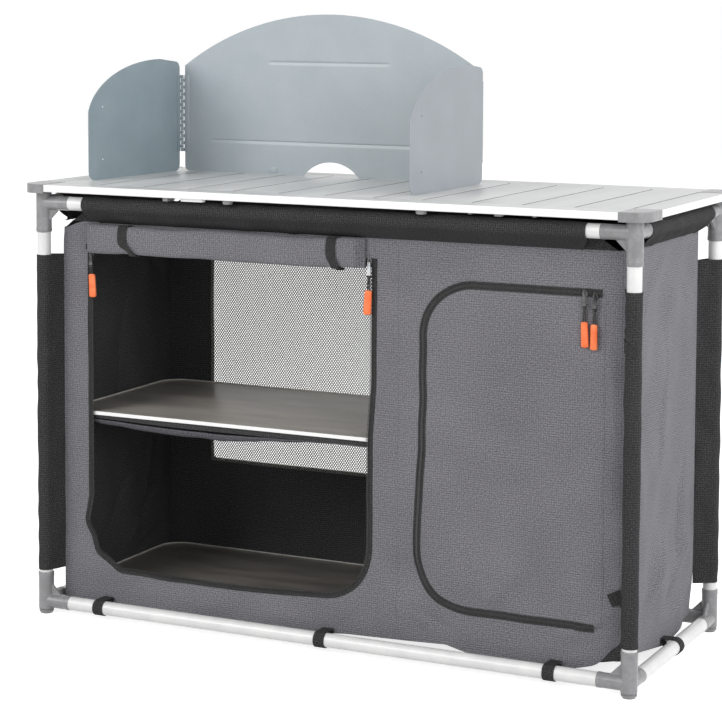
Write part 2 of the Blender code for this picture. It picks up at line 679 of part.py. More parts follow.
def knuckle_spans(own_first):
    """Heights of every second hinge knuckle, starting with the first or the second."""
    step = (HINGE_HIGH - HINGE_LOW) / KNUCKLE_COUNT
    spans = []
    for i in range(0 if own_first else 1, KNUCKLE_COUNT, 2):
        start = HINGE_LOW + i * step
        spans.append((start + KNUCKLE_GAP / 2, start + step - KNUCKLE_GAP / 2))
    return spans


def add_leaf(obj, away, spans, place=Matrix.Identity(4)):
    """Join a hinge leaf to a sheet.

    In the leaf's own frame the axis is the local Z axis, the leaf runs along local X * away, and the
    sheet's inner face lies at local y = KNUCKLE_RADIUS.
    """
    face = KNUCKLE_RADIUS + SHEET / 4
    back = KNUCKLE_RADIUS - LEAF_THICKNESS
    x_low, x_high = sorted((away * HINGE_OFFSET, away * LEAF_WIDTH))
    join(obj, box_mesh("leaf", (x_low, back, HINGE_LOW), (x_high, face, HINGE_HIGH)), place)
    for start, end in spans:
        x_low, x_high = sorted((0, away * (HINGE_OFFSET + LEAF_THICKNESS)))
        join(obj, box_mesh("leaf_tab", (x_low, back, start), (x_high, KNUCKLE_RADIUS, end)), place)
        knuckle = rod_mesh("knuckle", KNUCKLE_RADIUS, (0, 0, start), (0, 0, end), KNUCKLE_STEPS)
        join(obj, knuckle, place)


def build_screen_back():
    """Back sheet with its arched top, its cable arch at the foot and a leaf at each side."""
    half = SCREEN_WIDTH / 2
    left, right = SCREEN_CENTRE_X - half, SCREEN_CENTRE_X + half
    rise = SCREEN_TOP_HEIGHT - SCREEN_SIDE_HEIGHT
    radius = (half ** 2 + rise ** 2) / (2 * rise)
    centre = (SCREEN_CENTRE_X, TABLE_HEIGHT + SCREEN_TOP_HEIGHT - radius)
    spread = acos((radius - rise) / radius)
    arch_radius = (ARCH_HALF_WIDTH ** 2 + ARCH_HEIGHT ** 2) / (2 * ARCH_HEIGHT)
    arch_centre = (SCREEN_CENTRE_X + ARCH_OFFSET, SCREEN_FOOT + ARCH_HEIGHT - arch_radius)
    arch_spread = acos((arch_radius - ARCH_HEIGHT) / arch_radius)
    foot = SCREEN_FOOT_RADIUS
    outline = arc((left + foot, SCREEN_FOOT + foot), foot, pi, 1.5 * pi, CORNER_STEPS)
    outline += arc(arch_centre, arch_radius, pi / 2 + arch_spread, pi / 2 - arch_spread, ARCH_STEPS)
    outline += arc((right - foot, SCREEN_FOOT + foot), foot, 1.5 * pi, 2 * pi, CORNER_STEPS)
    outline += arc(centre, radius, pi / 2 - spread, pi / 2 + spread, SCREEN_TOP_STEPS)
    sheet = add_object("screen_back", upright_plate("screen_back", [outline], SHEET, SCREEN_Y), SCREEN_PAINT)
    bore = PIN_RADIUS + PIN_CLEARANCE
    for axis_x, away in ((left - HINGE_OFFSET, 1), (right + HINGE_OFFSET, -1)):
        place = Matrix.Translation((axis_x, HINGE_Y, 0))
        add_leaf(sheet, away, knuckle_spans(True), place)
        ends = (0, 0, HINGE_LOW - bore), (0, 0, HINGE_HIGH + bore)
        cut(sheet, rod_mesh("pin_bore", bore, *ends, PIN_STEPS), place)
    return sheet


def wing_outline():
    """Outline of a wing as (distance from the hinge edge, height above the tabletop's foot)."""
    near, far = HINGE_OFFSET, HINGE_OFFSET + WING_LENGTH
    foot, back = WING_FOOT_RADIUS, WING_BACK_RADIUS
    outline = arc((near + back, back), back, pi, 1.5 * pi, CORNER_STEPS)
    outline += arc((far - foot, foot), foot, 1.5 * pi, 2 * pi, CORNER_STEPS)
    crown = WING_HEIGHT + WING_CROWN
    reach = WING_LENGTH - WING_CROWN_AT
    drop = crown - WING_SHOULDER
    stretch = reach / sqrt(1 - ((WING_SPRING - WING_SHOULDER) / drop) ** 2)
    start = acos(reach / stretch)
    for i in range(WING_TOP_STEPS + 1):
        angle = start + (pi / 2 - start) * i / WING_TOP_STEPS
        u = near + WING_CROWN_AT + stretch * cos(angle)
        outline.append((u, WING_SHOULDER + drop * sin(angle)))
    outline += arc((near + back, WING_HEIGHT - back), back, pi / 2, pi, CORNER_STEPS)
    return outline


def build_wing(name, side, splay):
    """Side wing with its hinge leaf and pin. side is -1 on the left; splay turns the front outward."""
    axis_x = SCREEN_CENTRE_X + side * (SCREEN_WIDTH / 2 + HINGE_OFFSET)
    hole_u = HINGE_OFFSET + WING_LENGTH - WING_HOLE_INSET
    holes = [arc((hole_u, height), WING_HOLE_RADIUS, 0, 2 * pi, HOLE_STEPS)[:-1]
             for height in WING_HOLE_HEIGHTS]
    mesh = plate_mesh(name, [wing_outline()] + holes, SHEET)
    mesh.transform(Matrix.Translation((0, KNUCKLE_RADIUS + SHEET / 2, SCREEN_FOOT))
                   @ Matrix.Rotation(pi / 2, 4, "X"))
    wing = add_object(name, mesh, SCREEN_PAINT)
    add_leaf(wing, 1, knuckle_spans(False))
    join(wing, rod_mesh("pin", PIN_RADIUS, (0, 0, HINGE_LOW), (0, 0, HINGE_HIGH), PIN_STEPS))
    settled(wing)
    shape = bmesh.new()
    shape.from_mesh(wing.data)
    if side < 0:
        bmesh.ops.scale(shape, vec=(1, -1, 1), verts=shape.verts)
        bmesh.ops.reverse_faces(shape, faces=shape.faces)
    bmesh.ops.rotate(shape, cent=(0, 0, 0), matrix=Matrix.Rotation(side * splay - pi / 2, 3, "Z"),
                     verts=shape.verts)
    shape.to_mesh(wing.data)
    shape.free()
    wing.location = (axis_x, HINGE_Y, 0)
    return wing


# Zip pulls


def zip_pull(name, x, pull_top, cord_length):
    """A slider on the zip with a short cord and a moulded pull hanging from it."""
    slider_low = pull_top + cord_length - SLIDER_HEIGHT / 2
    near = -CUPBOARD_Y - TOUCH
    slider = box_mesh(name, (-SLIDER_WIDTH / 2, near - SLIDER_DEPTH, slider_low),
                      (SLIDER_WIDTH / 2, near, slider_low + SLIDER_HEIGHT))
    obj = add_object(name, slider, PULL_ORANGE, Matrix.Translation((x, 0, 0)))
    place = Matrix.Translation((x, 0, 0))
    middle = near - PULL_DEPTH / 2
    cord = rod_mesh("cord", CORD_RADIUS, (0, middle, slider_low + CORD_ROOT),
                    (0, middle, pull_top - CORD_ROOT), CORD_STEPS)
    join(obj, cord, place)
    half = PULL_WIDTH / 2
    radii = (PULL_FOOT_RADIUS, PULL_FOOT_RADIUS, PULL_TOP_RADIUS, PULL_TOP_RADIUS)
    outline = rounded_rectangle((-half, pull_top - PULL_LENGTH), (half, pull_top), radii, PULL_STEPS)
    join(obj, upright_plate("pull", [outline], PULL_DEPTH, middle), place)
    return obj


def build_zip_pulls(door):
    """Two pulls on the open bay's zip and two on the closed door's zip."""
    for name, x in (("bay_left_zip_pull", BAY_LEFT + BAY_PULL_INSET),
                    ("bay_right_zip_pull", BAY_RIGHT - BAY_PULL_INSET)):
        zip_pull(name, x, BAY_TOP - BAY_PULL_BELOW_TOP, BAY_CORD_LENGTH)
    outer_x = DOOR_RIGHT - DOOR_OUTER_PULL_INSET
    for name, x in (("door_outer_zip_pull", outer_x), ("door_inner_zip_pull", outer_x - DOOR_PULL_SPACING)):
        pull = zip_pull(name, x, DOOR_TOP - DOOR_PULL_BELOW_TOP, DOOR_CORD_LENGTH)
        pull.parent = door
        pull.matrix_parent_inverse = door.matrix_world.inverted()


def empty(name, location):
    """Add the carrier that a removable assembly hangs on."""
    carrier = bpy.data.objects.new(name, None)
    carrier.location = location
    parts.objects.link(carrier)
    return carrier


def build():
    """Make the whole unit."""
    build_tubes()
    build_connectors()
    build_front_and_back()
    build_inside()
    build_rolled_door()
    build_sleeves()
    door = build_right_door()
    build_zip_pulls(door)
    carrier = empty("tabletop_carrier", (0, 0, 0))
    build_tabletop(carrier)
    screen = build_screen_back()
    screen.parent = carrier
    for name, side, splay in (("screen_left_wing", -1, LEFT_WING_SPLAY),
                              ("screen_right_wing", 1, RIGHT_WING_SPLAY)):
        build_wing(name, side, splay).parent = screen
    bpy.context.view_layer.update()


build()
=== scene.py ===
"""Looks of the camp kitchen unit: cloth, boards, painted tube, moulded corners and the windscreen.

Everything is in metres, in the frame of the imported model: +X right along the tabletop, -Y the open
front, +Z up, origin on the floor under the middle of the tabletop.
"""

import logging
import math
from dataclasses import dataclass, field, replace
from enum import Enum
from functools import lru_cache
from typing import Callable, Optional, Sequence

import bmesh
import bpy
import numpy as np
from mathutils import Matrix, Vector


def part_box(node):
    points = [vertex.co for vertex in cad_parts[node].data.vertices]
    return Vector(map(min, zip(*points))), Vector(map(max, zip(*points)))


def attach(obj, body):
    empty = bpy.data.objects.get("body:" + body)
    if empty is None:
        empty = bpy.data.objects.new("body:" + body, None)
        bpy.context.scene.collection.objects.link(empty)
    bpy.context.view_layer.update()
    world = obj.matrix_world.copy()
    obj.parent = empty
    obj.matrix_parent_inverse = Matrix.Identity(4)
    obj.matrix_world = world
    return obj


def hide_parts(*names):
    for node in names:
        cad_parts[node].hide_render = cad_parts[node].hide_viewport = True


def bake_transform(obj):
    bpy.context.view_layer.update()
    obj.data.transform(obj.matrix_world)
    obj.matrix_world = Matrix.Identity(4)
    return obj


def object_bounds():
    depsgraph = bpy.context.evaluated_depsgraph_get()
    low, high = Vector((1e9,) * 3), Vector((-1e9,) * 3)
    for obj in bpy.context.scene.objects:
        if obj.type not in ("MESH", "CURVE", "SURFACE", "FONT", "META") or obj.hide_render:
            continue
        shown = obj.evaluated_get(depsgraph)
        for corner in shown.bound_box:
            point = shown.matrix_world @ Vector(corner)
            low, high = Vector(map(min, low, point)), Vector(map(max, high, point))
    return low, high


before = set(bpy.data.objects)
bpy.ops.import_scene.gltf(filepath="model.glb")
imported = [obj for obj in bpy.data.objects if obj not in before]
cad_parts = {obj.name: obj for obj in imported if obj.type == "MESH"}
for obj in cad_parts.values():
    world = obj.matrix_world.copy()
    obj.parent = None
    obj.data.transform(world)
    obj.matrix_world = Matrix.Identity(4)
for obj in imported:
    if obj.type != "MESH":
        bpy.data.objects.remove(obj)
CAD_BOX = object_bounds()
LOG = logging.getLogger("camp_kitchen")

Array = np.ndarray
Piece = bpy.types.Object
Socket = bpy.types.NodeSocket
Tree = bpy.types.NodeTree
Colour = tuple[float, float, float, float]
Shade = tuple[int, int, int]
Pair = tuple[float, float]
Triple = tuple[float, float, float]
FRONT = Vector((0, -1, 0))
BASE = "cupboard_frame"
ROUND = 48
CLOTH_CREASE = 60.0
SHEET_CREASE = 50.0
TOOTH_PITCH = 0.0022
STITCH_PITCH = 0.0034
FADE = 0.03


def screen_colour(shade: Shade) -> Colour:
    """Turn a colour as seen on a screen, with channels up to 255, into what a shader takes."""
    shares = [channel / 255 for channel in shade]
    linear = [s / 12.92 if s <= 0.04045 else ((s + 0.055) / 1.055) ** 2.4 for s in shares]
    return (linear[0], linear[1], linear[2], 1.0)


def soft_step(value: Array) -> Array:
    """Ease from 0 to 1 as value goes from 0 to 1."""
    held = np.clip(value, 0, 1)
    return held * held * (3 - 2 * held)


def columns(*values: object) -> Array:
    """Points as rows, from one array or number for each coordinate."""
    return np.stack(np.broadcast_arrays(*values), axis=1)


def power(value: Array, share: float) -> Array:
    """Power of a number's size, with its sign kept."""
    return np.sign(value) * np.abs(value) ** share


# Node trees


class NodeNet:
    """Short calls for filling a node tree."""

    def __init__(self, tree: Tree) -> None:
        """Work on the given tree."""
        self.tree = tree

    def feed(self, socket: Socket, value: object) -> None:
        """Link a socket to another one, or set its value; None leaves it alone."""
        if isinstance(value, Socket):
            self.tree.links.new(value, socket)
        elif value is not None:
            socket.default_value = value

    def fill(self, node: bpy.types.Node, values: dict[str, object]) -> bpy.types.Node:
        """Feed a node's inputs by name and return the node."""
        for key, value in values.items():
            self.feed(node.inputs[key], value)
        return node

    def add(self, kind: str, *inputs: object, named: Optional[dict] = None,
            **settings: object) -> bpy.types.Node:
        """Add a node.

        Args:
            kind: the node's type.
            inputs: sockets or values for its inputs in order.
            named: sockets or values for its inputs by name.
            settings: properties of the node.

        Returns:
            The new node.
        """
        node = self.tree.nodes.new(kind)
        for key, value in settings.items():
            setattr(node, key, value)
        for index, value in enumerate(inputs):
            self.feed(node.inputs[index], value)
        return self.fill(node, named or {})

    def shared(self, tree: Tree, **named: object) -> bpy.types.Node:
        """Add a shared node group."""
        return self.add("ShaderNodeGroup", node_tree=tree, named=named)

    def math(self, operation: str, *inputs: object) -> Socket:
        """Add a Math node and return its result."""
        return self.add("ShaderNodeMath", *inputs, operation=operation).outputs[0]

    def vector(self, operation: str, *inputs: object) -> Socket:
        """Add a Vector Math node and return its vector."""
        return self.add("ShaderNodeVectorMath", *inputs, operation=operation).outputs[0]

    def noise(self, vector: object, scale: object, detail: float = 2.0) -> Socket:
        """Add a noise texture and return its grey value."""
        named = {"Vector": vector, "Scale": scale, "Detail": detail}
        return self.add("ShaderNodeTexNoise", named=named).outputs[0]

    def spread(self, value: object, low: float, high: float, start: float = 0.0, end: float = 1.0) -> Socket:
        """Map the range low to high onto start to end, held at both ends."""
        return self.add("ShaderNodeMapRange", value, low, high, start, end).outputs[0]

    def ramp(self, value: object, stops: Sequence[tuple[float, Colour]]) -> Socket:
        """Turn a grey value into a colour along a ramp of (position, colour) stops."""
        node = self.add("ShaderNodeValToRGB", value)
        elements = node.color_ramp.elements
        while len(elements) < len(stops):
            elements.new(1.0)
        for element, (position, colour) in zip(elements, stops):
            element.position = position
            element.color = colour
        return node.outputs[0]


def effect(name: str, inputs: Sequence[tuple[str, str, float]], outputs: Sequence[str],
           fill: Callable[[NodeNet, dict], dict]) -> Tree:
    """Make a shader node group that several materials share.

    Args:
        name: the group's name.
        inputs: name, socket type and default of each input; a vector has no default.
        outputs: names of its grey outputs.
        fill: adds the nodes; takes the net and the input sockets, returns the output sockets.

    Returns:
        The group's tree.
    """
    tree = bpy.data.node_groups.new(name, "ShaderNodeTree")
    for label, kind, default in inputs:
        socket = tree.interface.new_socket(label, in_out="INPUT", socket_type=kind)
        if kind == "NodeSocketFloat":
            socket.default_value = default
    for label in outputs:
        tree.interface.new_socket(label, in_out="OUTPUT", socket_type="NodeSocketFloat")
    net = NodeNet(tree)
    entry = net.add("NodeGroupInput")
    made = fill(net, {label: entry.outputs[label] for label, _, _ in inputs})
    net.add("NodeGroupOutput", named=made)
    return tree


@lru_cache(maxsize=None)
def weave_effect() -> Tree:
    """Plain weave with faint ribs: a height for the threads and a tone for the heather."""

    def fill(net: NodeNet, given: dict) -> dict:
        """Cross two sets of threads, and add ribs that come and go."""
        split = net.add("ShaderNodeSeparateXYZ", given["Vector"])
        across, up = split.outputs[0], split.outputs[1]
        turn = net.math("DIVIDE", math.pi, given["Thread"])
        crossed = net.math("MULTIPLY", net.math("SINE", net.math("MULTIPLY", across, turn)),
                           net.math("SINE", net.math("MULTIPLY", up, turn)))
        beat = net.math("DIVIDE", 2 * math.pi, given["Rib"])
        ribs = net.math("SINE", net.math("MULTIPLY", up, beat))
        wales = net.math("SINE", net.math("MULTIPLY", across, beat))
        patches = net.spread(net.noise(given["Vector"], 42.0), 0.35, 0.65, 0.05, 0.34)
        fine = net.noise(given["Vector"], net.math("DIVIDE", 0.45, given["Thread"]))
        slow = net.noise(given["Vector"], 7.0)
        tone = net.math("MULTIPLY_ADD", ribs, patches, 0.5)
        tone = net.math("MULTIPLY_ADD", wales, 0.12, tone)
        tone = net.math("MULTIPLY_ADD", net.math("SUBTRACT", fine, 0.5), 2.8, tone)
        tone = net.math("MULTIPLY_ADD", net.math("SUBTRACT", slow, 0.5), 0.4, tone)
        height = net.math("MULTIPLY_ADD", crossed, 0.4, tone)
        return {"Tone": net.math("MAXIMUM", net.math("MINIMUM", tone, 1.0), 0.0), "Height": height}

    return effect("weave", [("Vector", "NodeSocketVector", 0), ("Thread", "NodeSocketFloat", 0.001),
                            ("Rib", "NodeSocketFloat", 0.004)], ["Tone", "Height"], fill)


@lru_cache(maxsize=None)
def grain_effect() -> Tree:
    """Fine grain and slow mottling of a moulded, painted or laminated surface."""

    def fill(net: NodeNet, given: dict) -> dict:
        """Two sizes of noise, stretched as asked."""
        stretched = net.vector("MULTIPLY", given["Vector"], given["Stretch"])
        fine = net.noise(stretched, net.math("DIVIDE", 1.0, given["Grain"]), 3.0)
        slow = net.noise(stretched, net.math("DIVIDE", 0.04, given["Grain"]), 2.0)
        tone = net.spread(net.math("MULTIPLY_ADD", slow, 1.6, fine), 1.0, 1.6)
        return {"Tone": tone, "Height": fine}

    return effect("grain", [("Vector", "NodeSocketVector", 0), ("Stretch", "NodeSocketVector", 0),
                            ("Grain", "NodeSocketFloat", 0.001)], ["Tone", "Height"], fill)


@lru_cache(maxsize=None)
def edge_effect() -> Tree:
    """Broken mask along outer edges, where handling polishes a surface."""

    def fill(net: NodeNet, given: dict) -> dict:
        """Keep the sharpest edges and break them up with noise."""
        sharp = net.spread(net.add("ShaderNodeNewGeometry").outputs["Pointiness"], 0.52, 0.62)
        broken = net.spread(net.noise(given["Vector"], 60.0, 3.0), 0.42, 0.62)
        return {"Mask": net.math("MULTIPLY", net.math("MULTIPLY", sharp, broken), given["Amount"])}

    return effect("edge_wear", [("Vector", "NodeSocketVector", 0), ("Amount", "NodeSocketFloat", 0.5)],
                  ["Mask"], fill)


# Finishes


class Pattern(Enum):
    """What a finish's pattern follows."""

    CLOTH = "UV"
    SOLID = "Object"


@dataclass(frozen=True)
class Finish:
    """What every finish has: its shades, gloss and the depth of its relief."""

    name: str
    shades: tuple[Shade, ...]
    roughness: Pair = (0.5, 0.6)
    relief: float = 0.0001
    bump: float = 0.3
    sheen: float = 0.0
    coat: float = 0.0
    metallic: float = 0.0
    specular: float = 0.5
    pattern: Pattern = Pattern.SOLID

    def effects(self, net: NodeNet, vector: Socket) -> dict[str, Socket]:
        """Add this finish's own pattern; returns its Tone and Height."""
        raise NotImplementedError

    def material(self) -> bpy.types.Material:
        """Build the material: pattern to colour, roughness and bump."""
        made = bpy.data.materials.new(self.name)
        made.use_nodes = True
        net = NodeNet(made.node_tree)
        given = self.effects(net, net.add("ShaderNodeTexCoord").outputs[self.pattern.value])
        last = max(1, len(self.shades) - 1)
        stops = [(i / last, screen_colour(shade)) for i, shade in enumerate(self.shades)]
        colour = net.ramp(given["Tone"], stops)
        rough = net.spread(given["Tone"], 0.0, 1.0, *self.roughness)
        bump = net.add("ShaderNodeBump", named={"Strength": self.bump, "Distance": self.relief,
                                                "Height": given["Height"]})
        values = {"Base Color": colour, "Roughness": rough, "Normal": bump.outputs["Normal"],
                  "Metallic": self.metallic, "Specular IOR Level": self.specular, "Sheen Weight": self.sheen,
                  "Sheen Roughness": 0.5, "Coat Weight": self.coat, "Coat Roughness": 0.2,
                  "Alpha": given.get("Alpha")}
        net.fill(made.node_tree.nodes["Principled BSDF"], values)
        return made


@dataclass(frozen=True)
class Woven(Finish):
    """Woven cloth, webbing or tape, whose threads follow the cut."""

    thread: float = 0.0011
    rib: float = 0.004
    pattern: Pattern = Pattern.CLOTH

    def effects(self, net: NodeNet, vector: Socket) -> dict[str, Socket]:
        """Threads and heather from the shared weave."""
        node = net.shared(weave_effect(), Vector=vector, Thread=self.thread, Rib=self.rib)
        return {"Tone": node.outputs["Tone"], "Height": node.outputs["Height"]}


@dataclass(frozen=True)
class Netting(Woven):
    """Open net: diagonal threads with clear diamonds between them."""

    opening: float = 0.0054
    thread_share: float = 0.38
    slant: float = 0.77

    def effects(self, net: NodeNet, vector: Socket) -> dict[str, Socket]:
        """The weave's relief, and an alpha that is clear inside each diamond."""
        given = super().effects(net, vector)
        split = net.add("ShaderNodeSeparateXYZ", vector)
        across = net.math("MULTIPLY", split.outputs[0], 1.04)
        up = net.math("MULTIPLY", split.outputs[1], self.slant)
        threads = []
        for operation in ("ADD", "SUBTRACT"):
            turned = net.math("DIVIDE", net.math(operation, across, up), self.opening)
            threads.append(net.math("PINGPONG", turned, 0.5))
        nearest = net.math("MINIMUM", *threads)
        given["Alpha"] = net.math("LESS_THAN", nearest, self.thread_share / 2)
        return given


@dataclass(frozen=True)
class Smooth(Finish):
    """Moulded, painted or laminated surface with a fine grain and polished edges."""

    grain: float = 0.0008
    stretch: Triple = (1.0, 1.0, 1.0)
    wear: float = 0.4

    def effects(self, net: NodeNet, vector: Socket) -> dict[str, Socket]:
        """Grain, with the tone lifted where edges are worn."""
        node = net.shared(grain_effect(), Vector=vector, Stretch=self.stretch, Grain=self.grain)
        edge = net.shared(edge_effect(), Vector=vector, Amount=self.wear)
        tone = net.math("MAXIMUM", node.outputs["Tone"], edge.outputs["Mask"])
        return {"Tone": tone, "Height": node.outputs["Height"]}


GREY_CLOTH = Woven("grey_heather_cloth", ((92, 91, 96), (117, 116, 121), (144, 143, 148)),
                   roughness=(0.85, 0.95), relief=0.0007, bump=0.6, sheen=0.12, specular=0.2)
# Painted shade: the grey cloth made darker for the sling, which hangs in shadow under the shelf.
SHADED_SLING_CLOTH = Woven("sling_cloth", ((68, 67, 72), (88, 87, 92), (110, 109, 114)),
                    roughness=(0.85, 0.95), relief=0.0005, bump=0.5, specular=0.2)
BLACK_CLOTH = Woven("black_cloth", ((38, 38, 39), (56, 56, 57), (76, 76, 77)),
                    roughness=(0.8, 0.92), relief=0.0004, bump=0.5, specular=0.12)
LINING = Woven("black_lining", ((38, 38, 39), (60, 60, 61), (84, 84, 85)),
               roughness=(0.75, 0.9), relief=0.0004, bump=0.5, specular=0.2)
WEBBING = Woven("black_webbing", ((26, 26, 26), (42, 42, 42), (62, 62, 61)), roughness=(0.7, 0.85),
                relief=0.0005, bump=0.7, sheen=0.05, specular=0.25, thread=0.0014, rib=0.003)
NET = Netting("window_net", ((116, 116, 112), (146, 146, 139)), roughness=(0.7, 0.85), relief=0.0003,
              bump=0.4)
THREAD = Smooth("sewing_thread", ((60, 60, 62), (88, 88, 90)), roughness=(0.7, 0.8), wear=0.0)
BLACK_PLASTIC = Smooth("black_zip_coil", ((22, 22, 22), (48, 48, 48)), roughness=(0.35, 0.5), wear=0.3)
GREY_MOULDING = Smooth("grey_moulding", ((130, 130, 131), (137, 137, 139), (144, 144, 146)),
                       roughness=(0.2, 0.3), relief=0.00008, bump=0.12, wear=0.05)
TUBE_PAINT = Smooth("white_tube_paint", ((222, 222, 222), (235, 235, 234)),
                    roughness=(0.28, 0.38), bump=0.1, coat=0.25, grain=0.0015)
EDGE_PAINT = Smooth("white_edge_paint", ((246, 246, 245), (252, 252, 251)),
                    roughness=(0.35, 0.45), bump=0.1, coat=0.15, grain=0.0015)
LAMINATE = Smooth("pale_laminate", ((192, 194, 194), (200, 201, 201), (208, 209, 208)),
                  roughness=(0.3, 0.4), specular=0.45, bump=0.15, stretch=(1.0, 0.12, 1.0), grain=0.002)
BOARD_FACE = Smooth("dark_board_laminate", ((104, 100, 95), (118, 114, 108), (132, 127, 121)),
                    roughness=(0.28, 0.36), bump=0.15, stretch=(0.25, 1.0, 1.0), grain=0.0016, specular=0.8)
# Painted light: the board laminate made lighter for the shelf, standing for the bright reflection on its top.
LIT_SHELF_FACE = replace(BOARD_FACE, name="shelf_laminate",
                     shades=((147, 143, 137), (166, 161, 154), (180, 174, 167)))
# Painted shade: near black for the carrier under the planks and for the planks' sides, so the joints show the
# shade in them.
JOINT_SHADE = Smooth("dark_carrier", ((24, 24, 24), (40, 40, 40)), wear=0.0)
SCREEN_ENAMEL = Smooth("blue_grey_enamel", ((166, 175, 180), (169, 178, 183), (173, 181, 186)),
                       roughness=(0.34, 0.4), bump=0.08, coat=0.1, grain=0.003, wear=0.6)
# Painted shade: the wings and the hinge knuckles have the back sheet's one enamel; these darker copies paint
# the shade each wing takes, the left more than the right.
SHADED_WING_ENAMEL = replace(SCREEN_ENAMEL, name="wing_enamel",
                      shades=((135, 149, 156), (139, 153, 160), (144, 157, 164)))
SHADED_ENAMEL = replace(SCREEN_ENAMEL, name="right_wing_enamel",
                        shades=((146, 152, 158), (149, 155, 161), (153, 159, 165)))
STEEL = Smooth("bright_steel", ((150, 152, 154), (198, 200, 202)), roughness=(0.22, 0.38), metallic=0.9,
               bump=0.2)
DARK_METAL = Smooth("blackened_metal", ((52, 52, 52), (100, 100, 100)),
                    roughness=(0.2, 0.35), metallic=0.7, bump=0.2)
ORANGE = Smooth("orange_moulding", ((242, 108, 52), (250, 126, 70), (253, 146, 96)),
                roughness=(0.42, 0.55), bump=0.2)
TRIM = Smooth("pale_trim", ((186, 184, 178), (208, 206, 200)), roughness=(0.5, 0.6))


@lru_cache(maxsize=None)
def material_of(finish: Finish) -> bpy.types.Material:
    """The one material of a finish."""
    return finish.material()


# Meshes


def linked(name: str, data: Optional[bpy.types.ID]) -> Piece:
    """Make an object from its data and link it to the scene."""
    obj = bpy.data.objects.new(name, data)
    bpy.context.scene.collection.objects.link(obj)
    return obj


def from_shape(name: str, shape: bmesh.types.BMesh) -> Piece:
    """Make an object from a bmesh, which is used up."""
    mesh = bpy.data.meshes.new(name)
    shape.to_mesh(mesh)
    shape.free()
    return linked(name, mesh)


def lay_pattern(mesh: bpy.types.Mesh, corners: Array) -> None:
    """Lay the pattern's coordinates on a mesh, one pair for each face corner."""
    layer = mesh.uv_layers.new(name="UVMap")
    layer.data.foreach_set("uv", np.asarray(corners, np.float32).ravel())


def dress(obj: Piece, *finishes: Finish) -> None:
    """Give a piece these finishes in slot order, in place of what it has."""
    obj.data.materials.clear()
    for finish in finishes:
        obj.data.materials.append(material_of(finish))


def new_piece(name: str, points: Array, faces: Sequence[Sequence[int]],
              corners: Optional[Array] = None) -> Piece:
    """Make an object at the origin from points and faces.

    Args:
        name: the object's name.
        points: one row of three numbers for each vertex.
        faces: vertex numbers of each face.
        corners: pattern coordinates, one pair for each face corner.

    Returns:
        The new object, linked to the scene.
    """
    mesh = bpy.data.meshes.new(name)
    mesh.from_pydata(np.asarray(points, float).tolist(), [], [list(map(int, f)) for f in faces])
    if corners is not None:
        lay_pattern(mesh, corners)
    return linked(name, mesh)


def plain(obj: Piece) -> Piece:
    """Turn an object's evaluated shape into its plain mesh and drop its modifiers."""
    graph = bpy.context.evaluated_depsgraph_get()
    graph.update()
    mesh = bpy.data.meshes.new_from_object(obj.evaluated_get(graph))
    old = obj.data
    obj.modifiers.clear()
    obj.data = mesh
    bpy.data.meshes.remove(old)
    return obj


def thickened(obj: Piece, thickness: float) -> Piece:
    """Give an open skin its thickness, half on each side."""
    wall = obj.modifiers.new("wall", "SOLIDIFY")
    wall.thickness = thickness
    wall.offset = 0
    return plain(obj)


def volume_of(mesh: bpy.types.Mesh) -> float:
    """Signed volume that the mesh encloses."""
    shape = bmesh.new()
    shape.from_mesh(mesh)
    volume = shape.calc_volume(signed=True)
    shape.free()
    return volume


def outward(obj: Piece) -> Piece:
    """Turn a closed piece's faces outwards if they point in."""
    if volume_of(obj.data) < 0:
        obj.data.flip_normals()
    return obj


def joined(name: str, pieces: Sequence[Piece]) -> Piece:
    """Join pieces into one object, keeping their materials and patterns."""
    first = pieces[0]
    with bpy.context.temp_override(active_object=first, selected_editable_objects=list(pieces)):
        bpy.ops.object.join()
    first.name = name
    return first


def skin(name: str, stations: Array, around: bool = True, along: bool = False, caps: bool = True) -> Piece:
    """Cover a row of sections with faces.

    Args:
        name: the object's name.
        stations: points as (station, point of the section, 3).
        around: whether each section closes on itself.
        along: whether the last station joins the first.
        caps: whether the open ends get a face.

    Returns:
        The piece, with its pattern laid out in metres.
    """
    count, size = stations.shape[:2]
    ring = np.concatenate([stations, stations[:, :1]], axis=1) if around else stations
    run = np.concatenate([ring, ring[:1]], axis=0) if along else ring
    girth = np.concatenate([[0], np.cumsum(np.linalg.norm(np.diff(ring, axis=1), axis=2).mean(axis=0))])
    length = np.concatenate([[0], np.cumsum(np.linalg.norm(np.diff(run, axis=0), axis=2).mean(axis=1))])
    i, j = np.meshgrid(np.arange(len(length) - 1), np.arange(len(girth) - 1), indexing="ij")
    i, j = i.ravel(), j.ravel()
    next_i, next_j = (i + 1) % count, (j + 1) % size
    faces = columns(i * size + j, i * size + next_j, next_i * size + next_j, next_i * size + j)
    corners = columns(girth[j], length[i], girth[j + 1], length[i], girth[j + 1], length[i + 1], girth[j],
                      length[i + 1]).reshape(-1, 2)
    listed = faces.tolist()
    if caps and around and not along:
        listed += [list(range(size))[::-1], list(range((count - 1) * size, count * size))]
        corners = np.concatenate([corners, np.zeros((2 * size, 2))])
    obj = new_piece(name, stations.reshape(-1, 3), listed, corners)
    if around and (caps or along):
        outward(obj)
    return obj


def arc(centre: Pair, radius: float, start: float, end: float, steps: int) -> list[Pair]:
    """Points of a circular arc, angles in radians."""
    angles = np.linspace(start, end, steps + 1)
    return [(centre[0] + radius * math.cos(a), centre[1] + radius * math.sin(a)) for a in angles]


def round_section(radius: float, steps: int = 12) -> Array:
    """Circle as a closed section."""
    return np.array(arc((0, 0), radius, 0, 2 * math.pi, steps)[:-1])


def flat_section(width: float, thickness: float, rim: float = 0.3) -> Array:
    """Band with softened rims as a closed section; rim is their share of the thickness."""
    cut = thickness * rim
    half_w, half_t = width / 2, thickness / 2
    return np.array([(-half_w, -half_t + cut), (-half_w + cut, -half_t), (half_w - cut, -half_t),
                     (half_w, -half_t + cut), (half_w, half_t - cut), (half_w - cut, half_t),
                     (-half_w + cut, half_t), (-half_w, half_t - cut)])


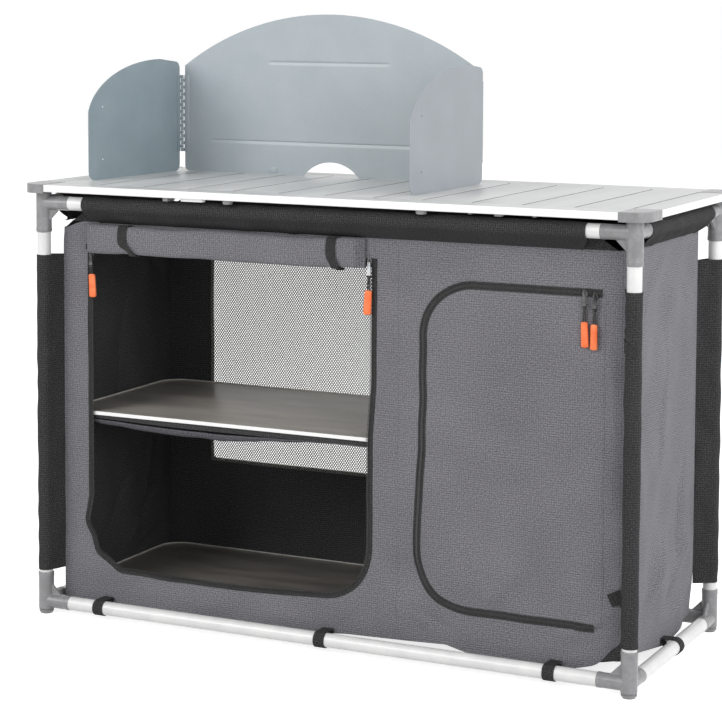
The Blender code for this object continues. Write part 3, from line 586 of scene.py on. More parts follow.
def directions(path: Array, closed: bool) -> Array:
    """Unit tangents along a path."""
    if closed:
        steps = np.roll(path, -1, axis=0) - np.roll(path, 1, axis=0)
    else:
        steps = np.gradient(path, axis=0)
    return steps / np.maximum(np.linalg.norm(steps, axis=1, keepdims=True), 1e-9)


def sweep(name: str, path: Array, section: Array, normal: object, closed: bool = False,
          swell: Optional[Array] = None) -> Piece:
    """Carry a section along a path.

    Args:
        name: the object's name.
        path: points that it follows.
        section: closed section as (side, out) pairs.
        normal: the out direction, one for all or one for each point.
        closed: whether the path is a loop.
        swell: size of the section at each point, as a factor.

    Returns:
        The closed piece.
    """
    path = np.asarray(path, float)
    tangents = directions(path, closed)
    out = np.broadcast_to(np.asarray(normal, float), path.shape).copy()
    out -= tangents * (out * tangents).sum(axis=1, keepdims=True)
    out /= np.maximum(np.linalg.norm(out, axis=1, keepdims=True), 1e-9)
    side = np.cross(tangents, out)
    grow = np.ones(len(path)) if swell is None else np.asarray(swell, float)
    stations = (path[:, None] + side[:, None] * (section[None, :, :1] * grow[:, None, None])
                + out[:, None] * (section[None, :, 1:] * grow[:, None, None]))
    return skin(name, stations, along=closed)


def spin(name: str, profile: Sequence[Pair], origin: Triple, axis: Triple, ring: bool = False,
         steps: int = ROUND) -> Piece:
    """Turn a profile about an axis.

    Args:
        name: the object's name.
        profile: (radius, distance along the axis) pairs; a radius of 0 becomes a pole.
        origin: where the axis starts.
        axis: direction of the axis.
        ring: whether the profile is a closed loop clear of the axis, as in a tube's wall.
        steps: sides of the turned shape.

    Returns:
        The closed piece, with faces outwards.
    """
    turn = Vector(axis).to_track_quat("Z", "Y").to_matrix()
    angles = np.linspace(0, 2 * math.pi, steps, endpoint=False)
    shape = np.array(profile, float)
    stations = np.stack([np.outer(np.cos(angles), shape[:, 0]), np.outer(np.sin(angles), shape[:, 0]),
                         np.broadcast_to(shape[:, 1], (steps, len(shape)))], axis=2)
    stations = stations @ np.array(turn).T + np.array(origin)
    obj = skin(name, stations, around=ring, along=True, caps=False)
    shape = bmesh.new()
    shape.from_mesh(obj.data)
    bmesh.ops.remove_doubles(shape, verts=shape.verts, dist=1e-6)
    bmesh.ops.recalc_face_normals(shape, faces=shape.faces)
    shape.to_mesh(obj.data)
    shape.free()
    return outward(obj)


def slab(name: str, outline: Sequence[Pair], low: float, high: float, rim: float,
         place: Callable[[Array], Array], steps: int = 3) -> Piece:
    """Flat solid with rounded rims.

    Args:
        name: the object's name.
        outline: its outline as pairs.
        low, high: heights of its two faces.
        rim: radius of the rims.
        place: maps (n, 3) points from the outline's own axes to the frame.
        steps: segments in each rim.

    Returns:
        The closed piece.
    """
    shape = bmesh.new()
    base = [shape.verts.new((u, v, low)) for u, v in outline]
    face = shape.faces.new(base)
    made = bmesh.ops.extrude_face_region(shape, geom=[face])
    top = [g for g in made["geom"] if isinstance(g, bmesh.types.BMVert)]
    bmesh.ops.translate(shape, verts=top, vec=(0, 0, high - low))
    rims = [e for e in shape.edges if abs(e.verts[0].co.z - e.verts[1].co.z) < 1e-7]
    if rim > 0:
        bmesh.ops.bevel(shape, geom=rims, offset=rim, segments=steps, profile=0.5, affect="EDGES",
                        clamp_overlap=True)
    bmesh.ops.recalc_face_normals(shape, faces=shape.faces)
    obj = from_shape(name, shape)
    points = np.array([v.co for v in obj.data.vertices], float)
    obj.data.vertices.foreach_set("co", place(points).astype(np.float32).ravel())
    lay_pattern(obj.data, points[[loop.vertex_index for loop in obj.data.loops], :2])
    return outward(obj)


def block(name: str, low: Triple, high: Triple, rim: float, steps: int = 2) -> Piece:
    """Box with every edge rounded."""
    shape = bmesh.new()
    bmesh.ops.create_cube(shape, size=1.0)
    size = Vector(high) - Vector(low)
    middle = (Vector(high) + Vector(low)) / 2
    for vert in shape.verts:
        vert.co = Vector((vert.co.x * size.x, vert.co.y * size.y, vert.co.z * size.z)) + middle
    bmesh.ops.bevel(shape, geom=shape.edges[:], offset=rim, segments=steps, profile=0.5, affect="EDGES")
    return from_shape(name, shape)


def moulded(name: str, shapes: Sequence[Piece], voxel: float, rounds: int) -> Piece:
    """Melt overlapping closed shapes into one moulding with fillets where they meet.

    Args:
        name: the object's name.
        shapes: the shapes, which are used up.
        voxel: size of its faces.
        rounds: how often it is smoothed.

    Returns:
        The closed piece.
    """
    obj = joined(name, shapes)
    remesh = obj.modifiers.new("melt", "REMESH")
    remesh.mode = "VOXEL"
    remesh.voxel_size = voxel
    smooth = obj.modifiers.new("smooth", "SMOOTH")
    smooth.factor = 0.5
    smooth.iterations = rounds
    return plain(obj)


def bored(obj: Piece, cutters: Sequence[Piece]) -> Piece:
    """Cut closed shapes out of a piece; the cutters are used up."""
    for cutter in cutters:
        tool = obj.modifiers.new("bore", "BOOLEAN")
        tool.operation = "DIFFERENCE"
        tool.solver = "MANIFOLD"
        tool.object = cutter
    plain(obj)
    for cutter in cutters:
        bpy.data.objects.remove(cutter)
    return obj


def copied(obj: Piece, name: str, matrix: Matrix) -> Piece:
    """Copy a piece and move it by a matrix; a mirrored copy's faces still point outwards."""
    mesh = obj.data.copy()
    mesh.transform(matrix)
    if matrix.determinant() < 0:
        mesh.flip_normals()
    return linked(name, mesh)


def settle(obj: Piece, body: str, finishes: Sequence[Finish] = (),
           stands_for: Sequence[str] = (), crease: float = 38.0) -> Piece:
    """Dress a finished piece and let it ride on its body.

    Args:
        obj: the piece.
        body: the body that it rides on.
        finishes: its finishes in slot order; none keeps what it has.
        stands_for: model nodes that it replaces.
        crease: edges sharper than this many degrees stay sharp.

    Returns:
        The piece.
    """
    if finishes:
        dress(obj, *finishes)
    obj.data.shade_smooth()
    obj.data.set_sharp_from_angle(angle=math.radians(crease))
    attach(obj, body)
    if stands_for:
        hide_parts(*stands_for)
    LOG.info("%s rides on %s, %d faces", obj.name, body, len(obj.data.polygons))
    return obj


# Cut cloth and sheet


@dataclass
class Outline:
    """A closed outline on a flat pattern, counter-clockwise."""

    points: Array

    @classmethod
    def rounded(cls, corners: Sequence[Pair], radii: Sequence[float], step: float = 0.006) -> "Outline":
        """Polygon with rounded corners and short steps along its straights.

        Args:
            corners: its corners in order.
            radii: radius at each corner.
            step: longest stretch between two points.

        Returns:
            The outline, which starts at the first corner.
        """
        nodes: list[Pair] = []
        count = len(corners)
        for i, radius in enumerate(radii):
            here = Vector(corners[i])
            back = (Vector(corners[i - 1]) - here).normalized()
            ahead = (Vector(corners[(i + 1) % count]) - here).normalized()
            if radius <= 0:
                nodes.append(tuple(here))
                continue
            half = back.angle(ahead) / 2
            centre = here + (back + ahead).normalized() * radius / math.sin(half)
            start = here + back * radius / math.tan(half) - centre
            sweep_angle = math.pi - 2 * half
            steps = max(3, math.ceil(radius * sweep_angle / step))
            turn = 1 if back.x * ahead.y - back.y * ahead.x < 0 else -1
            for k in range(steps + 1):
                angle = math.atan2(start.y, start.x) + turn * sweep_angle * k / steps
                nodes.append((centre.x + radius * math.cos(angle), centre.y + radius * math.sin(angle)))
        points: list[Pair] = []
        for a, b in zip(nodes, nodes[1:] + nodes[:1]):
            pieces = max(1, math.ceil(math.dist(a, b) / step))
            points += [(a[0] + (b[0] - a[0]) * k / pieces, a[1] + (b[1] - a[1]) * k / pieces)
                       for k in range(pieces)]
        return cls(np.array(points))

    def inside(self, u: Array, v: Array) -> Array:
        """Distance from the outline at each point, above 0 inside it."""
        a = self.points
        b = np.roll(a, -1, axis=0)
        nearest = np.full(u.shape, np.inf)
        within = np.zeros(u.shape, bool)
        for (ax, ay), (bx, by) in zip(a, b):
            dx, dy = bx - ax, by - ay
            share = np.clip(((u - ax) * dx + (v - ay) * dy) / max(dx * dx + dy * dy, 1e-18), 0, 1)
            nearest = np.minimum(nearest, (u - ax - share * dx) ** 2 + (v - ay - share * dy) ** 2)
            if ay != by:
                crosses = (ay > v) != (by > v)
                within ^= crosses & (u < ax + (v - ay) * dx / dy)
        return np.where(within, 1.0, -1.0) * np.sqrt(nearest)

    def girth(self) -> float:
        """Length of the outline."""
        return float(np.linalg.norm(np.roll(self.points, -1, axis=0) - self.points, axis=1).sum())


def grown(path: Array, distance: float) -> Array:
    """An open path moved sideways in its plane, to the right of its direction."""
    tangents = directions(path, False)
    return path + columns(tangents[:, 1], -tangents[:, 0]) * distance


def trimmed(path: Array, start: float, end: float) -> Array:
    """An open path with a length taken off each end."""
    along = np.concatenate([[0], np.cumsum(np.linalg.norm(np.diff(path, axis=0), axis=1))])
    inner = (along > start + 1e-4) & (along < along[-1] - end - 1e-4)
    ends = [np.array([np.interp(at, along, path[:, k]) for k in range(path.shape[1])])
            for at in (start, along[-1] - end)]
    return np.concatenate([ends[:1], path[inner], ends[1:]])


@dataclass
class Cut:
    """A flat piece cut along outlines, as a fine net of faces."""

    low: Pair
    high: Pair
    step: float
    outlines: Sequence[Outline] = ()
    holes: Sequence[Outline] = ()
    step_up: Optional[float] = None
    points: Array = field(init=False)
    faces: list = field(init=False)

    def __post_init__(self) -> None:
        """Lay the net and trim it along the outlines."""
        steps = (self.step, self.step_up or self.step)
        counts = [max(2, math.ceil((h - l) / s)) for l, h, s in zip(self.low, self.high, steps)]
        u, v = (np.linspace(l, h, c + 1) for l, h, c in zip(self.low, self.high, counts))
        grid_u, grid_v = np.meshgrid(u, v, indexing="ij")
        depth = self.depth(grid_u, grid_v)
        slope_u, slope_v = np.gradient(depth, u, v)
        steep = np.maximum(slope_u ** 2 + slope_v ** 2, 0.25)
        near = np.abs(depth) < min(steps) * 0.3
        rim = np.zeros_like(near)
        rim[[0, -1], :] = True
        rim[:, [0, -1]] = True
        near &= ~rim
        grid_u = np.where(near, grid_u - depth * slope_u / steep, grid_u)
        grid_v = np.where(near, grid_v - depth * slope_v / steep, grid_v)
        depth = np.where(near, 0.0, depth)
        self._trim(columns(grid_u.ravel(), grid_v.ravel()), depth.ravel(), grid_u.shape)

    def depth(self, u: Array, v: Array) -> Array:
        """Distance inside the cut at each point, below 0 outside it."""
        value = np.full(u.shape, 1.0)
        for outline in self.outlines:
            value = np.minimum(value, outline.inside(u, v))
        for hole in self.holes:
            value = np.minimum(value, -hole.inside(u, v))
        return value

    def _trim(self, points: Array, depth: Array, shape: tuple[int, int]) -> None:
        """Keep whole cells inside, and cut those that the outline crosses."""
        tolerance = 1e-7
        rows, cols = shape
        extra: list[Array] = []
        known: dict[tuple[int, int], int] = {}
        faces: list[list[int]] = []

        def crossing(a: int, b: int) -> int:
            """Number of the point where the outline crosses an edge."""
            key = (min(a, b), max(a, b))
            if key not in known:
                share = depth[a] / (depth[a] - depth[b])
                extra.append(points[a] + (points[b] - points[a]) * share)
                known[key] = len(points) + len(extra) - 1
            return known[key]

        for i in range(rows - 1):
            for j in range(cols - 1):
                cell = [i * cols + j, (i + 1) * cols + j, (i + 1) * cols + j + 1, i * cols + j + 1]
                values = depth[cell]
                if values.max() <= tolerance:
                    continue
                if values.min() >= -tolerance:
                    faces.append(cell)
                    continue
                for triangle in ((0, 1, 2), (0, 2, 3)):
                    loop = [cell[k] for k in triangle]
                    if depth[loop].max() <= tolerance:
                        continue
                    kept = []
                    for a, b in zip(loop, loop[1:] + loop[:1]):
                        if depth[a] >= -tolerance:
                            kept.append(a)
                        if min(depth[a], depth[b]) < -tolerance and max(depth[a], depth[b]) > tolerance:
                            kept.append(crossing(a, b))
                    if len(kept) >= 3:
                        faces.append(kept)
        every = np.concatenate([points, np.array(extra).reshape(-1, 2)])
        used = sorted({k for face in faces for k in face})
        number = {k: n for n, k in enumerate(used)}
        self.points = every[used]
        self.faces = [[number[k] for k in face] for face in faces]

    def area(self) -> float:
        """Flat area of the cut."""
        total = 0.0
        for face in self.faces:
            loop = self.points[face]
            ahead = np.roll(loop, -1, axis=0)
            total += abs((loop[:, 0] * ahead[:, 1] - ahead[:, 0] * loop[:, 1]).sum()) / 2
        return total

    def sheet(self, name: str, place: Callable[[Array, Array], Array], facing: Triple,
              thickness: float, finishes: Sequence[Finish], rim: int = 0) -> Piece:
        """Stand the cut in the frame and give it a thickness behind its face.

        Args:
            name: the object's name.
            place: maps the pattern's coordinates to points in the frame.
            facing: the way that its face looks.
            thickness: its thickness.
            finishes: the finish of its face and that of its back.
            rim: which of the two its rims have.

        Returns:
            The closed piece.
        """
        world = place(self.points[:, 0], self.points[:, 1])
        order = np.concatenate([np.array(face) for face in self.faces])
        obj = new_piece(name, world, self.faces, self.points[order])
        mean = Vector((0, 0, 0))
        for polygon in obj.data.polygons:
            mean += polygon.normal * polygon.area
        if mean.dot(Vector(facing)) < 0:
            obj.data.flip_normals()
        dress(obj, *finishes)
        wall = obj.modifiers.new("wall", "SOLIDIFY")
        wall.thickness = thickness
        wall.offset = -1
        wall.material_offset = 1
        wall.material_offset_rim = rim
        return plain(obj)


@dataclass(frozen=True)
class Fold:
    """A soft ridge or furrow in cloth, straight and fading at both ends."""

    start: Pair
    end: Pair
    width: float
    height: float

    def rise(self, u: Array, v: Array) -> Array:
        """How far the cloth stands out at each point."""
        du, dv = self.end[0] - self.start[0], self.end[1] - self.start[1]
        length = math.hypot(du, dv)
        along = ((u - self.start[0]) * du + (v - self.start[1]) * dv) / length
        off = ((v - self.start[1]) * du - (u - self.start[0]) * dv) / length
        fade = soft_step(along / (0.3 * length)) * soft_step((length - along) / (0.3 * length))
        return self.height * np.exp(-(off / self.width) ** 2) * fade


@dataclass(frozen=True)
class Ripples:
    """Slow random waves in a panel, the same each time for a seed."""

    seed: int
    height: float
    wavelength: float
    waves: int = 16
    stretch: Pair = (1.0, 1.0)

    def rise(self, u: Array, v: Array) -> Array:
        """How far the cloth stands out at each point."""
        rng = np.random.default_rng(self.seed)
        total = np.zeros(np.shape(u))
        for _ in range(self.waves):
            angle, phase = rng.uniform(0, 2 * math.pi, 2)
            scale = 2 * math.pi / (self.wavelength * rng.uniform(0.6, 1.8))
            total += np.sin(scale * (math.cos(angle) * u / self.stretch[0]
                                     + math.sin(angle) * v / self.stretch[1]) + phase)
        return total * self.height / math.sqrt(self.waves / 2)


class Repeat:
    """Geometry Nodes that set copies of a small shape along a path: stitches, teeth, knuckles, planks."""

    _tree: Optional[Tree] = None

    @classmethod
    def tree(cls) -> Tree:
        """The shared tree, with named inputs for the path, pitch, outward direction and finish."""
        if cls._tree:
            return cls._tree
        tree = bpy.data.node_groups.new("repeat_along_path", "GeometryNodeTree")
        for label, kind in (("Shape", "NodeSocketGeometry"), ("Path", "NodeSocketObject"),
                            ("Pitch", "NodeSocketFloat"), ("Outward", "NodeSocketVector"),
                            ("Finish", "NodeSocketMaterial")):
            tree.interface.new_socket(label, in_out="INPUT", socket_type=kind)
        tree.interface.new_socket("Row", in_out="OUTPUT", socket_type="NodeSocketGeometry")
        net = NodeNet(tree)
        given = net.add("NodeGroupInput").outputs
        path = net.add("GeometryNodeObjectInfo", transform_space="RELATIVE", named={"Object": given["Path"]})
        curve = net.add("GeometryNodeMeshToCurve", path.outputs["Geometry"])
        points = net.add("GeometryNodeResampleCurve", mode="LENGTH",
                         named={"Curve": curve.outputs[0], "Length": given["Pitch"]})
        upright = net.add("FunctionNodeAlignRotationToVector", axis="Z", named={"Vector": given["Outward"]})
        tangent = net.add("GeometryNodeInputTangent")
        aimed = net.add("FunctionNodeAlignRotationToVector", axis="X", pivot_axis="Z",
                        named={"Rotation": upright.outputs[0], "Vector": tangent.outputs[0]})
        single = net.add("GeometryNodeGeometryToInstance", given["Shape"])
        copies = net.add("GeometryNodeInstanceOnPoints", named={
            "Points": points.outputs[0], "Instance": single.outputs[0], "Rotation": aimed.outputs[0]})
        real = net.add("GeometryNodeRealizeInstances", copies.outputs[0])
        dressed = net.add("GeometryNodeSetMaterial", named={"Geometry": real.outputs[0],
                                                            "Material": given["Finish"]})
        net.add("NodeGroupOutput", dressed.outputs[0])
        cls._tree = tree
        return tree

    @classmethod
    def along(cls, shape: Piece, path: Array, pitch: float, facing: Triple,
              finish: Finish, closed: bool = False) -> Piece:
        """Turn one small shape at the origin into a row of them.

        Args:
            shape: the shape, whose X runs along the path and Z outwards.
            path: points of the path.
            pitch: distance between copies.
            facing: the outward direction.
            finish: finish of every copy.
            closed: whether the path is a loop.

        Returns:
            The same object, now one plain mesh.
        """
        guide_mesh = bpy.data.meshes.new("guide")
        count = len(path)
        edges = [(i, (i + 1) % count) for i in range(count if closed else count - 1)]
        guide_mesh.from_pydata(np.asarray(path, float).tolist(), edges, [])
        guide = linked("guide", guide_mesh)
        modifier = shape.modifiers.new("row", "NODES")
        modifier.node_group = cls.tree()
        values = {"Path": guide, "Pitch": pitch, "Outward": tuple(facing), "Finish": material_of(finish)}
        for item in cls.tree().interface.items_tree:
            if item.in_out == "INPUT" and item.name in values:
                modifier[item.identifier] = values[item.name]
        plain(shape)
        bpy.data.objects.remove(guide)
        bpy.data.meshes.remove(guide_mesh)
        return shape


def stitch(name: str, length: float = 0.0024, thickness: float = 0.0005) -> Piece:
    """One stitch of thread, a short bead sunk at both ends."""
    path = np.array([(-length / 2, 0, -thickness * 0.4), (-length * 0.3, 0, thickness * 0.25),
                     (length * 0.3, 0, thickness * 0.25), (length / 2, 0, -thickness * 0.4)])
    return sweep(name, path, round_section(thickness / 2, 6), (0, 0, 1))


def zip_tooth(name: str) -> Piece:
    """One turn of a zip's coil, seen from outside."""
    across = np.array([(0, -0.0022, 0), (0.0002, -0.0019, 0.0007), (0, 0, 0.0011), (-0.0002, 0.0019, 0.0007),
                       (0, 0.0022, 0)])
    return sweep(name, across, round_section(0.00055, 6), (1, 0, 0))


def flat_band(name: str, path: Array, width: float, thickness: float, finish: Finish, body: str) -> None:
    """Flat band of webbing or cloth along a path on the front."""
    settle(sweep(name, path, flat_section(width, thickness), FRONT), body, [finish])


def tooth_row(name: str, path: Array, body: str) -> None:
    """A zip's teeth along a path on the front."""
    settle(Repeat.along(zip_tooth(name), path, TOOTH_PITCH, FRONT, BLACK_PLASTIC), body)


def stitch_row(name: str, path: Array, body: str, pitch: float = STITCH_PITCH) -> None:
    """A line of stitches along a path on the front."""
    settle(Repeat.along(stitch(name), path, pitch, FRONT, THREAD), body)


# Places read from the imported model


@dataclass(frozen=True)
class Places:
    """Where the model's own pieces lie."""

    post_x: float
    post_y: float
    tube: float
    top_rail: float
    low_rail: float
    side: float
    front: float
    bottom: float
    top: float
    table_top: float
    divider: float

    @classmethod
    def read(cls) -> "Places":
        """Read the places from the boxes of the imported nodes."""
        post_low, post_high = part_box("front_right_post")
        cloth_low, cloth_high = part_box("front_panel")

        def middle(node: str, axis: int) -> float:
            """Middle of a node's box along an axis."""
            low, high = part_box(node)
            return (low[axis] + high[axis]) / 2

        return cls(post_x=middle("front_right_post", 0), post_y=-middle("front_right_post", 1),
                   tube=(post_high.x - post_low.x) / 2, top_rail=middle("front_top_rail", 2),
                   low_rail=middle("front_bottom_rail", 2), side=cloth_high.x, front=cloth_low.y,
                   bottom=cloth_low.z, top=cloth_high.z, table_top=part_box("plank_panel")[1].z,
                   divider=middle("divider_panel", 0))

    def inset(self, side: str) -> float:
        """How far the cloth of one side lies in from its rails."""
        return self.post_y + self.front if side in ("front", "back") else self.post_x - self.side

    def beside(self, side: str, along: object, inward: object, height: object) -> Array:
        """Points near the rails of one side: along them, in from their axis and at a height."""
        sign = -1 if side in ("front", "left") else 1
        if side in ("front", "back"):
            return columns(along, sign * (self.post_y - inward), height)
        return columns(sign * (self.post_x - inward), along, height)


class Corner(Enum):
    """The four corners, as signs along X and Y."""

    FRONT_LEFT = (-1, -1)
    FRONT_RIGHT = (1, -1)
    BACK_LEFT = (-1, 1)
    BACK_RIGHT = (1, 1)

    @property
    def label(self) -> str:
        """The corner's name as the model writes it."""
        return self.name.lower()


# Tube frame


@dataclass
class TubeFrame:
    """Painted tubes, moulded corner connectors and feet."""

    at: Places
    wall: float = 0.0012
    rim: float = 0.0004
    collar: float = 0.0004
    collar_run: float = 0.009
    fit: float = 0.00035
    gusset: float = 0.005
    gusset_reach: float = 0.019
    voxel: float = 0.00062
    longer: Pair = (0.008, 0.005)
    plug: float = 0.034

    def build(self) -> None:
        """Make every tube, connector and foot."""
        for corner in Corner:
            self.tube(corner.label + "_post")
        for level in ("top", "bottom"):
            for side in ("front", "back", "left", "right"):
                self.tube(f"{side}_{level}_rail")
        self.connectors("top")
        self.connectors("bottom")
        self.feet()

    def tube(self, node: str) -> None:
        """Replace one tube by a rounder one with eased rims."""
        low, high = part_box(node)
        size = high - low
        axis = max(range(3), key=lambda k: size[k])
        length = size[axis]
        radius, inner, ease = self.at.tube, self.at.tube - self.wall, self.rim
        profile = [(inner + ease, 0), (radius - ease, 0), (radius, ease), (radius, length - ease),
                   (radius - ease, length), (inner + ease, length), (inner, length - ease), (inner, ease)]
        origin = (low + high) / 2
        origin[axis] = low[axis]
        direction = [0.0, 0.0, 0.0]
        direction[axis] = 1.0
        obj = spin(node + "_tube", profile, tuple(origin), tuple(direction), ring=True)
        settle(obj, BASE, [TUBE_PAINT], [node])

    def connectors(self, level: str) -> None:
        """Mould the connector of one level and set it at all four corners."""
        low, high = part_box(f"back_right_{level}_connector")
        x, y = self.at.post_x, self.at.post_y
        z = self.at.top_rail if level == "top" else self.at.low_rail
        outer = high.x - x
        more = self.longer[0 if level == "top" else 1]
        reach_x, reach_y = x - low.x + more, y - low.y + more * 0.4
        mouth, cap = (low.z, high.z) if level == "top" else (high.z, low.z)
        up = 1 if mouth > cap else -1
        slim = outer - 0.0013
        shapes = [self.socket("upright", (x, y, cap), (0, 0, up), abs(mouth - cap), outer),
                  self.socket("along_x", (x, y, z), (-1, 0, 0), reach_x, slim),
                  self.socket("along_y", (x, y, z), (0, -1, 0), reach_y, slim),
                  self.gusset_plate(x, y, z, outer, up, True), self.gusset_plate(x, y, z, outer, up, False)]
        body = moulded(f"connector_{level}", shapes, self.voxel, 1)
        bore = self.at.tube + self.fit
        stop = outer + 0.0015
        over = 0.004
        bored(body, [spin("bore", [(0, 0), (bore, 0), (bore, deep + over), (0, deep + over)], start, axis)
                     for deep, start, axis in ((reach_x - stop, (x - stop, y, z), (-1, 0, 0)),
                                               (reach_y - stop, (x, y - stop, z), (0, -1, 0)),
                                               (self.plug, (x, y, mouth - up * self.plug), (0, 0, up)))])
        self.set_at_corners(body, level + "_connector", "_moulding")

    def set_at_corners(self, body: Piece, part: str, ending: str) -> None:
        """Set a moulding made at the right back corner at all four, and drop the first."""
        for corner in Corner:
            node = f"{corner.label}_{part}"
            obj = copied(body, node + ending, Matrix.Diagonal((*corner.value, 1, 1)))
            settle(obj, BASE, [GREY_MOULDING], [node])
        bpy.data.objects.remove(body)

    def socket(self, name: str, origin: Triple, axis: Triple, length: float, radius: float) -> Piece:
        """One socket with a thicker collar at its mouth."""
        collar, run, ease = radius + self.collar, self.collar_run, 0.0012
        profile = [(0, 0), (radius - ease, 0), (radius, ease), (radius, length - run),
                   (collar, length - run + ease), (collar, length - ease), (collar - ease, length),
                   (0, length)]
        return spin(name, profile, origin, axis)

    def gusset_plate(self, x: float, y: float, z: float, outer: float, up: int, along_x: bool) -> Piece:
        """Web between the upright socket and a level one."""
        tip, root = outer + self.gusset_reach, outer - 0.002
        outline = [(0, 0), (tip, 0), (tip, root), (root, tip), (0, tip)]

        def place(points: Array) -> Array:
            """Stand the web in the plane of the two sockets."""
            away, rise, off = points[:, 0], points[:, 1], points[:, 2]
            if along_x:
                return columns(x - away, y + off, z + up * rise)
            return columns(x + off, y - away, z + up * rise)

        return slab("gusset", outline, -self.gusset / 2, self.gusset / 2, 0.0008, place)

    def feet(self) -> None:
        """Turned feet with a bevelled tread, under all four corners."""
        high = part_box("back_right_foot")[1]
        radius = high.x - self.at.post_x
        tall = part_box("back_right_bottom_connector")[0].z
        profile = [(0, 0), (radius - 0.0035, 0), (radius - 0.0022, 0.0006), (radius - 0.0018, 0.0022),
                   (radius - 0.0004, 0.0034), (radius, 0.0042), (radius, 0.006), (radius - 0.001, 0.0064),
                   (radius - 0.001, 0.0072), (radius, 0.0076), (radius, tall - 0.0006),
                   (radius - 0.0006, tall), (0.006, tall), (0.006, high.z - 0.0006), (0.0054, high.z),
                   (0, high.z)]
        body = spin("foot", profile, (self.at.post_x, self.at.post_y, 0), (0, 0, 1))
        self.set_at_corners(body, "foot", "_tread")


# Cupboard


